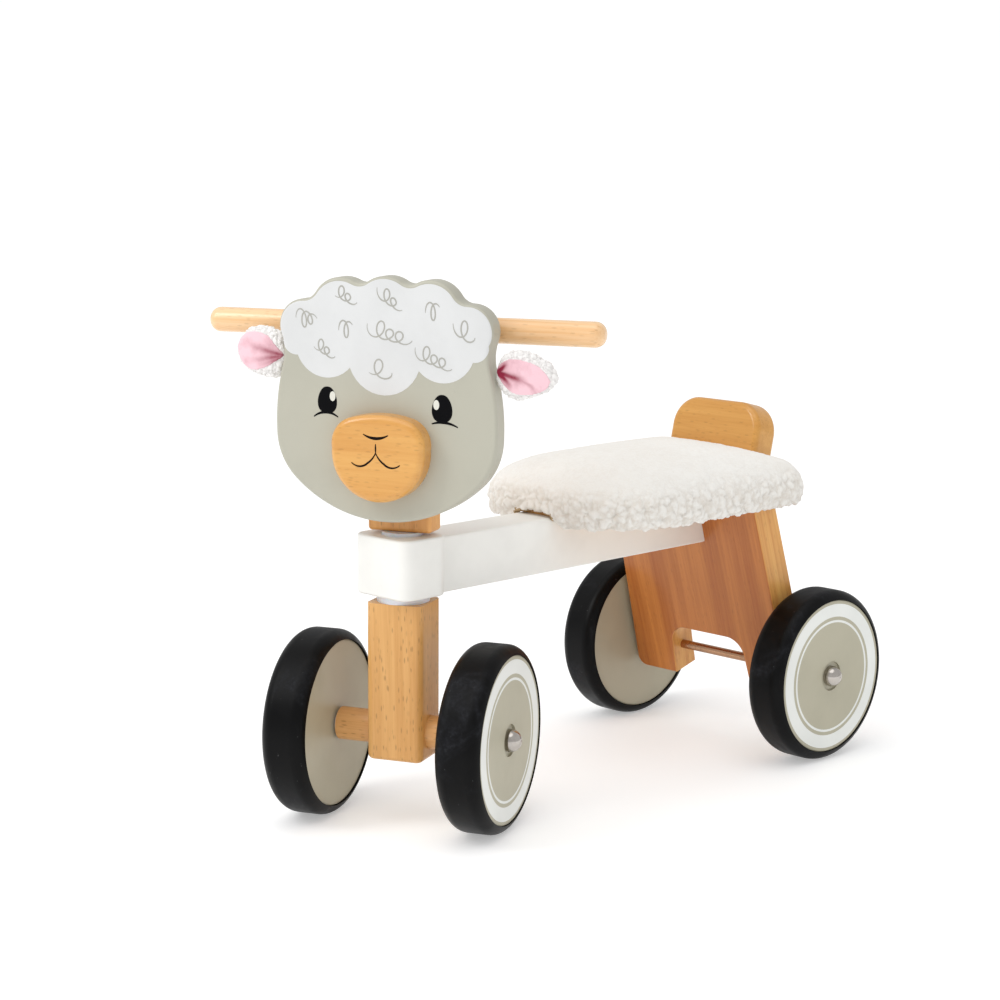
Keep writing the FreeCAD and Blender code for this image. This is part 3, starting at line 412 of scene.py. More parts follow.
def puffed(thing, held, pressure=4.0, most=8 * MM, frames=20):
    """Blows a closed form up as cloth; held vertices stay and none moves further than most."""
    before = coordinates(thing)
    group = thing.vertex_groups.new(name="held")
    group.add([int(i) for i in np.flatnonzero(held)], 1.0, "REPLACE")
    cloth = thing.modifiers.new("Cloth", "CLOTH")
    cloth.settings.quality = 5
    cloth.settings.use_pressure = True
    cloth.settings.uniform_pressure_force = pressure
    cloth.settings.effector_weights.gravity = 0
    cloth.settings.vertex_group_mass = "held"
    cloth.point_cache.frame_end = frames
    for moment in range(1, frames + 1):
        SCENE.frame_set(moment)
    applied(thing)
    SCENE.frame_set(1)
    thing.vertex_groups.clear()
    move = coordinates(thing) - before
    reach = np.linalg.norm(move, axis=1, keepdims=True)
    move *= np.minimum(1, most / np.maximum(reach, 1e-9))
    for _ in range(2):
        move = 0.5 * move + 0.5 * neighbour_mean(thing, move)
    move[held] = 0
    set_coordinates(thing, before + move)


def smoothstep(low, high, value):
    share = np.clip((value - low) / (high - low), 0, 1)
    return share * share * (3 - 2 * share)


def tufted(thing, size, height, share, seed):
    """Raises rounded curls of pile over a surface and stores how deep each hollow is, which the pile's
    colour uses as painted shade.
    """
    spots = coordinates(thing)
    outward = normals(thing)
    shift = Vector((seed, 2.3 * seed, -1.7 * seed))
    rise = np.empty(len(spots))
    hollow = np.empty(len(spots))
    for i, spot in enumerate(spots):
        at = Vector(spot) / size + shift
        at += 0.5 * noise.noise_vector(at * 0.8) + 0.3 * noise.noise_vector(at * 2.1)
        near, second = noise.voronoi(at)[0][:2]
        curl = noise.noise(at * 2.4 + shift)
        rise[i] = 1.0 - 1.3 * near * near + 0.3 * curl
        hollow[i] = 1.0 - min(1.0, (second - near) / 0.45)
    lumps = rise - 0.55 - 0.25 * hollow ** 3
    set_coordinates(thing, spots + outward * (height * share * lumps)[:, None])
    # Painted shade: the pile is darker where this stored hollow depth is high.
    store(thing, "hollow", np.clip(0.6 * hollow ** 2 * share, 0, 1))


def store(thing, name, values):
    layer = thing.data.attributes.new(name, "FLOAT", "POINT")
    layer.data.foreach_set("value", np.asarray(values, np.float32))


def ringed(rings, around=False):
    """Faces over rings of equally many points; the end rings are closed, or joined if around."""
    count = len(rings[0])
    faces = []
    for level in range(len(rings) if around else len(rings) - 1):
        above = (level + 1) % len(rings)
        for i in range(count):
            following = (i + 1) % count
            faces.append((level * count + i, level * count + following,
                          above * count + following, above * count + i))
    if not around:
        faces.append(tuple(reversed(range(count))))
        last = (len(rings) - 1) * count
        faces.append(tuple(range(last, last + count)))
    return [spot for ring in rings for spot in ring], faces


def closed_spline(corners, steps=10):
    """Smooth closed curve through a few corners (Catmull-Rom)."""
    corners = [np.array(corner, float) for corner in corners]
    count = len(corners)
    line = []
    for i in range(count):
        a, b, c, d = (corners[(i + k) % count] for k in (-1, 0, 1, 2))
        for step in range(steps):
            t = step / steps
            line.append(0.5 * (2 * b + (c - a) * t + (2 * a - 5 * b + 4 * c - d) * t ** 2
                               + (3 * b - a - 3 * c + d) * t ** 3))
    return np.array(line)


def depth_inside(spots, outline):
    """How far flat points lie within a closed outline; negative outside."""
    ahead = np.roll(outline, -1, 0) - outline
    nearest = np.full(len(spots), 1e9)
    turns = np.zeros(len(spots), bool)
    for start, step in zip(outline, ahead):
        from_start = spots - start
        share = np.clip(from_start @ step / (step @ step), 0, 1)
        nearest = np.minimum(nearest, np.hypot(*(from_start - share[:, None] * step).T))
        crosses = (start[1] > spots[:, 1]) != (start[1] + step[1] > spots[:, 1])
        slope = step[0] / step[1] if abs(step[1]) > 1e-9 else 0.0
        turns ^= crosses & (spots[:, 0] < start[0] + slope * (spots[:, 1] - start[1]))
    return np.where(turns, nearest, -nearest)


# ---------------------------------------------------------------------------------------------
# Seat cushion
# ---------------------------------------------------------------------------------------------

BOARD_CORNERS = 30 * MM, 60 * MM
CUSHION_CORNERS = 29 * MM, 72 * MM
REST_LEAN = math.radians(13.4)


def round_outline(low, high, back_corner, front_corner, inset, count=120):
    """Rounded rectangle about two corners, moved inwards by an inset."""
    outline = []
    half = (high[1] - low[1]) / 2 - inset
    for i in range(count):
        angle = 2 * math.pi * (i + 0.5) / count
        across, up = math.cos(angle), math.sin(angle)
        corner = front_corner if across > 0 else back_corner
        bend = min(max(corner - inset, 6 * MM), half)
        end = high[0] - inset - bend if across > 0 else low[0] + inset + bend
        outline.append((end + bend * across, math.copysign(half - bend, up) + bend * up))
    return outline


def cushion_form():
    """Crowned pad with a soft rolled edge that folds in under the seat board."""
    low, high = extent("seat_cushion")
    board_high = extent("seat_board")[1]
    wide = (high[1] - low[1]) / 2
    clear = 0.4 * MM
    crown = high[2] + 1.5 * MM
    brow = board_high[2] + 8 * MM
    hem = low[2] + 1.0 * MM
    pocket = high[1] - board_high[1] - 1.4 * MM
    swell = 1.5 * MM

    profile = []
    for share in (0.97, 0.82, 0.66, 0.52, 0.40, 0.29, 0.19, 0.12):
        lift = math.sin(math.pi / 2 * min(1, share / 0.72))
        profile.append((share * wide, brow + (crown - brow) * lift))
    for degrees in (70, 45, 20, 0, -20, -45, -70, -90):
        angle = math.radians(degrees)
        middle = (brow + hem) / 2
        reach = (brow - hem) / 2
        profile.append((swell + 8 * MM * (1 - math.cos(angle)), middle + reach * math.sin(angle)))
    profile.append((pocket, hem + 1.5 * MM))
    profile.append((pocket, (hem + board_high[2]) / 2))
    profile.append((pocket, board_high[2] + clear))
    profile.append((0.5 * wide, board_high[2] + clear))
    profile.append((0.97 * wide, board_high[2] + clear))

    rings = []
    for inset, height in profile:
        outline = round_outline(low, high, *CUSHION_CORNERS, inset)
        rings.append([(x, y, height) for x, y in outline])
    spots, faces = ringed(rings)
    return mesh_from("seat_cushion_fleece", spots, faces)


def block(name, low, high):
    """Plain box used only to cut room into another form."""
    mesh = bpy.data.meshes.new(name)
    work = bmesh.new()
    bmesh.ops.create_cube(work, size=1.0)
    for vertex in work.verts:
        vertex.co = [a + (b - a) * (c + 0.5) for a, b, c in zip(low, high, vertex.co)]
    work.to_mesh(mesh)
    work.free()
    return new_object(name, mesh)


def cut_away(thing, cutter):
    step = thing.modifiers.new("Room", "BOOLEAN")
    step.operation = "DIFFERENCE"
    step.solver = "EXACT"
    step.object = cutter
    applied(thing)
    bpy.data.objects.remove(cutter)


def around_board(spots):
    """True for points that lie on the seat board or on its edge."""
    low, high = extent("seat_board")
    outline = np.array(round_outline(low, high, *BOARD_CORNERS, 0, 60))
    slack = 2.2 * MM
    return (spots[:, 2] < high[2] + slack) & (depth_inside(spots[:, :2], outline) > -slack)


def beam_room():
    """Space for the beam, from under the seat out through the front of the cushion."""
    low, high = extent("seat_cushion")
    beam_low, beam_high = extent("main_beam")
    return block("beam_room", (0, beam_low[1] - 1 * MM, low[2] - 10 * MM),
                 (high[0] + 10 * MM, beam_high[1] + 1 * MM, beam_high[2] + 1 * MM))


def rest_room():
    """Leaning space for the backrest, open to the back of the cushion."""
    low, high = extent("backrest")
    board_top = extent("seat_board")[1][2]
    gap = 1.5 * MM
    room = block("rest_room", (low[0] - 30 * MM, low[1] - gap, board_top - 20 * MM),
                 (high[0] + gap, high[1] + gap, high[2] + 30 * MM))
    foot = Vector((high[0], 0, board_top))
    lean = Matrix.Rotation(-REST_LEAN, 4, "Y")
    room.data.transform(Matrix.Translation(foot) @ lean @ Matrix.Translation(-foot))
    return room


def show_backing(cushion):
    """Turns the hem above the beam, in the shade under the cushion, into the fleece's knitted backing,
    whose colour is partly painted shade.
    """
    beam_high = extent("main_beam")[1]
    for polygon in cushion.data.polygons:
        x, y, z = polygon.center
        over_beam = x > 0 and abs(y) < beam_high[1] + 3 * MM and z < beam_high[2] + 3.5 * MM
        polygon.material_index = int(over_beam and polygon.normal.z < 0.3)


def make_cushion():
    """Blown-up pad whose pile is curly on the sides and pressed flat on top."""
    # The second colour is the painted shade in the hollows of the pile.
    fleece = fleece_cloth("fleece_cream", rgb(242, 240, 235), rgb(218, 209, 197))
    # The backing's tan is partly painted shade from under the cushion.
    knit = backing("fleece_backing", rgb(196, 168, 130))
    cushion = new_object("seat_cushion_fleece", cushion_form(), fleece, knit)
    cut_away(cushion, beam_room())
    cut_away(cushion, rest_room())
    remeshed(cushion, 5.9 * MM)

    puffed(cushion, around_board(coordinates(cushion)), most=5 * MM)
    subdivided(cushion, 2)
    spots = coordinates(cushion)
    facing_up = normals(cushion)[:, 2]
    curly = 0.14 + 0.86 * (1 - smoothstep(0.2, 0.9, facing_up))
    curly *= 1 - 0.8 * around_board(spots)
    tufted(cushion, 8.0 * MM, 2.8 * MM, curly, 3)
    show_backing(cushion)
    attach(cushion, "frame")
    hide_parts("seat_cushion")


# ---------------------------------------------------------------------------------------------
# Prints on the head, in millimetres across and up in the steering frame
# ---------------------------------------------------------------------------------------------

def bent_line(start, through, end, steps=14):
    """Arc through three points."""
    (ax, ay), (bx, by), (cx, cy) = start, through, end
    twice = 2 * (ax * (by - cy) + bx * (cy - ay) + cx * (ay - by))
    a, b, c = (x * x + y * y for x, y in (start, through, end))
    middle = np.array(((a * (by - cy) + b * (cy - ay) + c * (ay - by)) / twice,
                       (a * (cx - bx) + b * (ax - cx) + c * (bx - ax)) / twice))
    radius = math.hypot(ax - middle[0], ay - middle[1])
    first, half, last = (math.atan2(y - middle[1], x - middle[0]) for x, y in (start, through, end))
    sweep = (last - first) % (2 * math.pi)
    if (half - first) % (2 * math.pi) > sweep:
        sweep -= 2 * math.pi
    angles = first + sweep * np.linspace(0, 1, steps + 1)
    return middle + radius * np.column_stack((np.cos(angles), np.sin(angles)))


def circles_meet(one, one_radius, other, other_radius):
    """Upper crossing of two circles."""
    one, other = np.array(one, float), np.array(other, float)
    gap = other - one
    far = np.hypot(*gap)
    along = (one_radius ** 2 - other_radius ** 2 + far ** 2) / (2 * far)
    aside = math.sqrt(one_radius ** 2 - along ** 2) / far
    spots = [one + gap * along / far + sign * aside * np.array((-gap[1], gap[0]))
             for sign in (1, -1)]
    return max(spots, key=lambda spot: spot[1])


def valley(one, one_radius, other, other_radius, radius=14.0):
    """Rounded hollow between two bumps: its start, lowest point and end."""
    one, other = np.array(one), np.array(other)
    middle = circles_meet(one, one_radius + radius, other, other_radius + radius)
    start = one + (middle - one) * one_radius / (one_radius + radius)
    end = other + (middle - other) * other_radius / (other_radius + radius)
    down = circles_meet(one, one_radius, other, other_radius) - middle
    return start, middle + down * radius / np.hypot(*down), end


def mirrored(line):
    return np.array(line)[::-1] * (-1, 1)


def joined(*lines):
    return np.vstack([line[:-1] for line in lines])


def wool_outline():
    """Scalloped fringe over the forehead and five bumps along the top."""
    outer, side, top = (68.0, 397.0), (37.3, 410.2), (0.0, 411.4)
    outer_radius, side_radius, top_radius = 19.4, 22.5, 23.9
    temple_end = (85.0, 387.5)
    outer_valley = valley(outer, outer_radius, side, side_radius)
    inner_valley = valley(side, side_radius, top, top_radius)
    right = joined(
        bent_line((28.6, 366.5), (51.0, 358.2), (72.6, 374.8)),
        bent_line((72.6, 374.8), (80.6, 377.0), temple_end),
        bent_line(temple_end, (outer[0] + outer_radius * 0.77, outer[1] + outer_radius * 0.64),
                  outer_valley[0]),
        bent_line(*outer_valley),
        bent_line(outer_valley[2], (side[0] + side_radius * 0.3, side[1] + side_radius * 0.954),
                  inner_valley[0]),
        bent_line(*inner_valley))
    crown_end = inner_valley[2] * (-1, 1)
    crown = bent_line(inner_valley[2], (0, top[1] + top_radius), crown_end)[:-1]
    lock = bent_line((-28.6, 366.5), (0, 346.5), (28.6, 366.5))[:-1]
    left = mirrored(np.vstack((right, [inner_valley[2]])))[:-1]
    return np.vstack((right, crown, left, lock))


def egg(middle, half_wide, half_high, tip=0.16, steps=40):
    """Closed outline, narrower at its upper end."""
    angles = np.linspace(0, 2 * math.pi, steps, endpoint=False)
    across = np.sign(np.cos(angles)) * np.abs(np.cos(angles)) ** (1 - tip)
    across *= half_wide * (1 - tip * np.sin(angles)) / (1 + 0.5 * tip ** 2)
    return np.column_stack((middle[0] + across, middle[1] + half_high * np.sin(angles)))


def inner_points(outline, gap):
    """Even points within an outline, and two rows just inside it."""
    low, high = outline.min(0), outline.max(0)
    ahead = np.roll(outline, -1, 0) - np.roll(outline, 1, 0)
    inward = np.column_stack((-ahead[:, 1], ahead[:, 0])) / np.linalg.norm(ahead, axis=1)[:, None]
    grid = [(across, up) for row, up in enumerate(np.arange(low[1], high[1], 0.87 * gap))
            for across in np.arange(low[0] + gap / 2 * (row % 2), high[0], gap)]
    kept = []
    for spots, depth in ((outline + 0.8 * inward, 0.8), (outline + 1.8 * inward, 1.8),
                         (np.array(grid), 2.4)):
        kept.append(spots[depth_inside(spots, outline) > 0.9 * depth])
    return np.vstack(kept)


def plate(name, outline, tree, proud, look, gap=4.0):
    """Thin film within an outline, laid on whatever faces forwards there."""
    outline = np.array(outline, float)
    x, y = outline.T
    if (x * np.roll(y, -1) - np.roll(x, -1) * y).sum() < 0:
        outline = outline[::-1]
    spots = [Vector(spot) for spot in outline]
    spots += [Vector(spot) for spot in inner_points(outline, gap)]
    edges = [(i, (i + 1) % len(outline)) for i in range(len(outline))]
    found = geometry.delaunay_2d_cdt(spots, edges, [], 1, 1e-5)
    flat, faces = found[0], found[2]
    count = len(flat)
    front = [surface_point(spot, tree, proud) for spot in flat]
    back = [surface_point(spot, tree, -0.3) for spot in flat]
    rim = {}
    for face in faces:
        for one, other in zip(face, face[1:] + face[:1]):
            if rim.pop((other, one), None) is None:
                rim[(one, other)] = True
    solid = [tuple(face) for face in faces]
    solid += [tuple(count + i for i in reversed(face)) for face in faces]
    solid += [(other, one, count + one, count + other) for one, other in rim]
    film = new_object(name, mesh_from(name, front + back, solid), look)
    film.data.set_sharp_from_angle(angle=math.radians(40))
    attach(film, "steering")
    return film


def surface_point(spot, tree, proud):
    """Point of the model's frame, this many millimetres in front of what is met from ahead."""
    start = Vector((0.2, spot[0] * MM, spot[1] * MM))
    hit = tree.ray_cast(start, Vector((-1, 0, 0)))[0]
    return STEERING @ Vector((hit.x + proud * MM, start.y, start.z))


def stroke(name, lines, widths, tree, proud, look, taper=0.0):
    """Brush strokes along some lines; later parts lie a hair higher, so crossings are clean."""
    spots, faces = [], []
    for line, width in zip(lines, widths):
        line = np.array(line, float)
        ahead = np.gradient(line, axis=0)
        aside = np.column_stack((-ahead[:, 1], ahead[:, 0])) / np.linalg.norm(ahead, axis=1)[:, None]
        count = len(line)
        rings = []
        for i, (spot, side) in enumerate(zip(line, aside)):
            share = i / (count - 1)
            fullness = 1 - taper * abs(2 * share - 1) ** 1.6
            if not taper:
                fullness = min(1.0, 0.35 + 6 * min(share, 1 - share))
            half = 0.5 * width * fullness
            lift = proud + 0.08 * share
            rings.append([surface_point(spot + side * half * across, tree, lift * up - 0.05)
                          for across, up in ((-1, 0), (-0.8, 1), (0.8, 1), (1, 0))])
        ring_spots, ring_faces = ringed(rings)
        faces += [tuple(len(spots) + i for i in face) for face in ring_faces]
        spots += ring_spots
    drawn = new_object(name, mesh_from(name, spots, faces, smooth=False), look)
    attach(drawn, "steering")
    return drawn


def curl(middle, width, height, loops, slope, lead=0.1, tail=0.2, under=False):
    """A few hand-drawn loops in a row, the first one tallest, like a lock of curly wool."""
    pitch, half_high, lean = 5.3, 4.5, 0.2
    turns = np.linspace(-lead, loops + tail, 26 * loops + 14)
    phase = 2 * math.pi * turns
    across = pitch * (turns + 0.62 * np.sin(phase))
    up = half_high * (1 - np.cos(phase)) * (1 - 0.34 * smoothstep(0.6, 1.4, turns))
    if under:
        up = -up
    else:
        across = across + lean * up
    spots = np.column_stack((across, up - slope * across))
    low, high = spots.min(0), spots.max(0)
    return middle + (spots - (low + high) / 2) / (high - low) * (width, height)


def wool_print(head):
    """White wool with rows of grey curls."""
    white = painted("print_white", rgb(221, 222, 222), 0.42, 0.4)
    grey = ink("print_grey", rgb(176, 175, 168), 0.5)
    wool = plate("wool_print", wool_outline(), head, 0.12, white)

    curls = [
        curl((-31.6, 422.0), 18.4, 13.7, 2, 0.40, 0.05, 0.25),
        curl((4.5, 420.2), 20.6, 17.0, 2, 0.50, 0.30),
        curl((39.7, 412.1), 11.5, 13.4, 1, 0.10, 0.30, 0.15, under=True),
        curl((65.3, 398.0), 17.7, 15.8, 1, 0.40, 0.25, 0.30),
        curl((-65.0, 403.3), 17.8, 14.0, 2, 0.25, 0.30, 0.15, under=True),
        curl((-32.1, 396.1), 11.5, 13.0, 1, 0.10, 0.30, 0.15, under=True),
        curl((4.5, 394.8), 37.2, 17.0, 3, 0.20, 0.30, 0.25),
        curl((-49.9, 380.4), 17.8, 14.0, 2, 0.45, 0.10, 0.25),
        curl((-3.1, 366.7), 19.1, 14.6, 1, 0.35, 0.05, 0.35),
        curl((40.6, 376.6), 30.2, 17.5, 3, 0.30, 0.30)]
    drawn = stroke("curl_print", curls, [1.3] * len(curls), head, 0.30, grey)


def eye_prints(head):
    """Black eyes with a glint, each over a curved lash."""
    black = ink("print_black", rgb(5, 5, 8), 0.5)
    glint = ink("print_glint", rgb(226, 226, 216), 0.4)
    eyes = (
        ("left", (47.6, 338.7), (8.4, 10.6), (42.9, 341.4),
         ((60.5, 325.0), (48.7, 328.2), (39.2, 326.8))),
        ("right", (-47.8, 340.8), (8.1, 10.4), (-43.3, 343.9),
         ((-59.3, 327.4), (-49.5, 331.2), (-38.8, 327.8))))
    for label, middle, size, light, lash in eyes:
        plate("eye_print_" + label, egg(middle, *size), head, 0.14, black, 3.0)
        plate("eye_glint_" + label, egg(light, 2.4, 3.8, 0.0), head, 0.24, glint, 3.0)
        stroke("lash_print_" + label, [bent_line(*lash, 24)], [2.3], head, 0.22, black, taper=0.6)


def snout_prints(snout):
    """Nostril line, and a mouth of two curves under a short groove."""
    brown = ink("print_dark_brown", rgb(20, 12, 9), 0.5)
    nostrils = bent_line((-10.3, 318.5), (0, 315.6), (10.4, 318.5), 24)
    stroke("nostril_print", [nostrils], [2.6], snout, 0.14, brown, taper=0.7)
    groove = np.linspace((0, 311.4), (0, 304.0), 10)
    smiles = [np.vstack((bent_line((0, 304.5), (side * 3.0, 299.6), (side * 6.8, 296.3), 14)[:-1],
                         bent_line((side * 6.8, 296.3), (side * 13.2, 293.6), (side * 20.0, 296.2), 18)))
              for side in (1, -1)]
    stroke("mouth_print", [groove] + smiles, [1.4, 1.7, 1.7], snout, 0.14, brown, taper=0.5)


def head_prints():
    head = tree_of("head_board", STEERING)
    wool_print(head)
    eye_prints(head)
    snout_prints(tree_of("snout", STEERING))


# ---------------------------------------------------------------------------------------------
# Ears
# ---------------------------------------------------------------------------------------------

def lens(outline, middle, front, back):
    """Closed domed form over an outline: flat points across and up, then depth."""
    rings = []
    shares = (0.05, 0.25, 0.45, 0.65, 0.82, 0.94)
    for share in shares:
        rings.append([(front * math.sqrt(1 - share ** 2.6), *(middle + share * (spot - middle)))
                      for spot in outline])
    rings.append([(0.0, *spot) for spot in outline])
    for share in reversed(shares):
        rings.append([(-back * math.sqrt(1 - share ** 2.6), *(middle + share * (spot - middle)))
                      for spot in outline])
    return ringed(rings)


def make_ear(side, label, rim_corners, lining_corners, root, folds, plush, pink):
    """Plush ear with a sunken lining whose folds fan out from where it is sewn on."""
    low, high = extent("ear_" + label, STEERING)
    middle_x = (low[0] + high[0]) / 2
    inner = closed_spline(lining_corners) * MM
    root = np.array(root) * MM
    bed = make_plush(label, closed_spline(rim_corners) * MM, inner, root, 11 + 4 * side, middle_x, plush)
    make_lining(label, inner, root, folds, bed, middle_x, pink)


def make_plush(label, rim, inner, root, seed, middle_x, look):
    """Blown-up, tufted body of an ear; gives the smooth surface that its lining lies on."""
    name = "ear_%s_plush" % label
    ear = new_object(name, mesh_from(name, *lens(rim, rim.mean(0), 5.0 * MM, 5.5 * MM)), look)
    remeshed(ear, 1.8 * MM)
    puffed(ear, np.hypot(*(coordinates(ear)[:, 1:] - root).T) < 9 * MM, pressure=2.0, most=1.5 * MM)
    spots = coordinates(ear)
    inside = depth_inside(spots[:, 1:], inner)
    spots[:, 0] -= (spots[:, 0] > 0) * 2.2 * MM * smoothstep(0, 4 * MM, inside)
    set_coordinates(ear, spots)
    bed = BVHTree.FromPolygons([Vector(spot) for spot in spots],
                               [polygon.vertices for polygon in ear.data.polygons])
    subdivided(ear, 2)
    spots = coordinates(ear)
    free = smoothstep(3 * MM, 9 * MM, np.hypot(*(spots[:, 1:] - root).T))
    free *= 1 - smoothstep(-1 * MM, 1.5 * MM, depth_inside(spots[:, 1:], inner))
    tufted(ear, 4.2 * MM, 1.5 * MM, 0.2 + 0.8 * free, seed)
    finish_ear(ear, middle_x)
    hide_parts("ear_" + label)
    return bed


def make_lining(label, inner, root, folds, bed, middle_x, look):
    """Thin folded lining laid on the front of an ear."""
    name = "ear_%s_lining" % label
    lining = new_object(name, mesh_from(name, *lens(inner, inner.mean(0), 2.0 * MM, 1.5 * MM)), look)
    remeshed(lining, 1.0 * MM)
    subdivided(lining, 1)
    spots = coordinates(lining)
    inside = depth_inside(spots[:, 1:], inner)
    crease = creased(spots[:, 1:], folds)
    swell = (0.5 + 1.6 * smoothstep(0, 4 * MM, inside) * (1 - 0.9 * crease)) * MM
    for i, spot in enumerate(spots):
        hit = bed.ray_cast(Vector((0.05, spot[1], spot[2])), Vector((-1, 0, 0)))[0]
        if hit:
            spots[i, 0] = hit.x + (swell[i] if spot[0] > 0 else -3.0 * MM)
    set_coordinates(lining, spots)
    for _ in range(2):
        set_coordinates(lining, 0.5 * coordinates(lining)
                        + 0.5 * neighbour_mean(lining, coordinates(lining)))
    # Painted shade: the lining darkens along its creases and towards its root.
    near_root = 1 - smoothstep(0, 30 * MM, np.hypot(*(spots[:, 1:] - root).T))
    store(lining, "hollow", np.clip(crease + 0.45 * near_root, 0, 1))
    finish_ear(lining, middle_x)


def creased(spots, folds):
    """Strength of some folds at flat points; each narrows towards its start and fades at its end."""
    strength = np.zeros(len(spots))
    for start, bend, end, width, depth in folds:
        start, bend, end = (np.array(spot) * MM for spot in (start, bend, end))
        for share in np.linspace(0, 1, 40):
            middle = (1 - share) ** 2 * start + 2 * share * (1 - share) * bend + share ** 2 * end
            reach = (1.3 + width * share) * MM
            near = np.exp(-((spots - middle) ** 2).sum(1) / reach ** 2)
            strength = np.maximum(strength, depth * (1 - 0.75 * share ** 2) * near)
    return strength


def finish_ear(piece, middle_x):
    """Carries a piece drawn flat about zero to its place beside the head."""
    piece.data.transform(STEERING @ Matrix.Translation((middle_x, 0, 0)))
    piece.data.update()
    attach(piece, "steering")


def ears():
    # The plush's second colour is the painted shade in the hollows of its pile.
    plush = fleece_cloth("ear_plush_white", rgb(243, 241, 239), rgb(222, 218, 216))
    # The lining's second colour is the painted shade in its folds and at its root.
    pink = velour("ear_lining_pink", rgb(245, 204, 213), rgb(140, 34, 60))
    make_ear(1, "left",
             [(87.5, 366), (90, 375), (96, 382.5), (105, 385), (115, 384), (125, 380), (133, 375),
              (137.5, 364), (132, 356), (120, 350.5), (108, 347), (97, 349), (90, 356)],
             [(88.5, 368), (93, 375), (101, 378.5), (112, 377.5), (124, 373), (132, 363.5), (128, 356),
              (118, 352), (106, 351.5), (97, 356.5)],
             (88.0, 367.5),
             [((88.5, 367.5), (93, 369.5), (97, 374.5), 0.6, 1.0),
              ((88.5, 367.5), (104, 365), (113, 361), 1.8, 0.9),
              ((110, 362), (119, 359), (121, 352.5), 1.2, 0.45),
              ((88.5, 367.5), (97, 364), (100, 357.5), 1.0, 0.9)],
             plush, pink)
    make_ear(-1, "right",
             [(-87.5, 372), (-89, 389), (-98, 394.5), (-110, 395.5), (-121, 391.5), (-129, 380),
              (-127, 367), (-117, 359), (-105, 355.5), (-93, 355.5)],
             [(-88, 373), (-94, 380.5), (-101, 388), (-112, 391), (-122, 388.5), (-128, 379),
              (-125, 367.5), (-116, 360.5), (-103, 363), (-94, 368)],
             (-88.5, 373),
             [((-88.5, 373), (-104, 376), (-122, 383), 2.6, 0.5),
              ((-88.5, 372.5), (-102, 370), (-119, 367), 1.8, 0.4),
              ((-90, 371), (-100, 366), (-110, 364.5), 1.4, 0.35)],
             plush, pink)


# ---------------------------------------------------------------------------------------------
# Wheels and the finishes of the wooden and metal parts
# ---------------------------------------------------------------------------------------------

def wheel_ring(name, disc, axis, hub, inner, outer, look):
    """Flat painted ring on the outer face of a wheel disc."""
    level = ((points_of(disc) - hub) @ axis).max()
    first = axis.cross(Vector((0, 0, 1))).normalized()
    second = axis.cross(first)
    angles = np.linspace(0, 2 * math.pi, 128, endpoint=False)
    proud, sunk = 0.12 * MM, -0.2 * MM
    rings = []
    for radius, depth in ((inner, sunk), (inner, proud), (outer, proud), (outer, sunk)):
        rings.append([hub + axis * (level + depth)
                      + radius * (first * math.cos(angle) + second * math.sin(angle))
                      for angle in angles])
    spots, faces = ringed(rings, around=True)
    return new_object(name, mesh_from(name, spots, faces, smooth=False), look)


def wheel_rings():
    white = painted("ring_white", rgb(234, 236, 232), 0.4, 0.5)
    for end in ("front", "rear"):
        for side, way in (("left", 1), ("right", -1)):
            wheel = "%s_%s" % (end, side)
            joint = JOINTS[wheel + "_wheel_spin"]
            axis = Vector(joint["axis"]).normalized()
            axis *= way if axis.y > 0 else -way
            low, high = extent(wheel + "_tyre")
            hub = Vector((low + high) / 2)
            for kind, inner, outer in (("wide", 52.5, 63.8), ("narrow", 47.5, 49.5)):
                ring = wheel_ring("%s_%s_ring" % (wheel, kind), wheel + "_disc", axis, hub,
                                  inner * MM, outer * MM, white)
                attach(ring, wheel + "_wheel")


def dress(look, *nodes):
    """Gives CAD nodes a finish."""
    for node in nodes:
        for slot in NODES[node].material_slots:
            slot.material = look


def across_steering(*direction):
    return STEERING.to_3x3() @ Vector(direction)


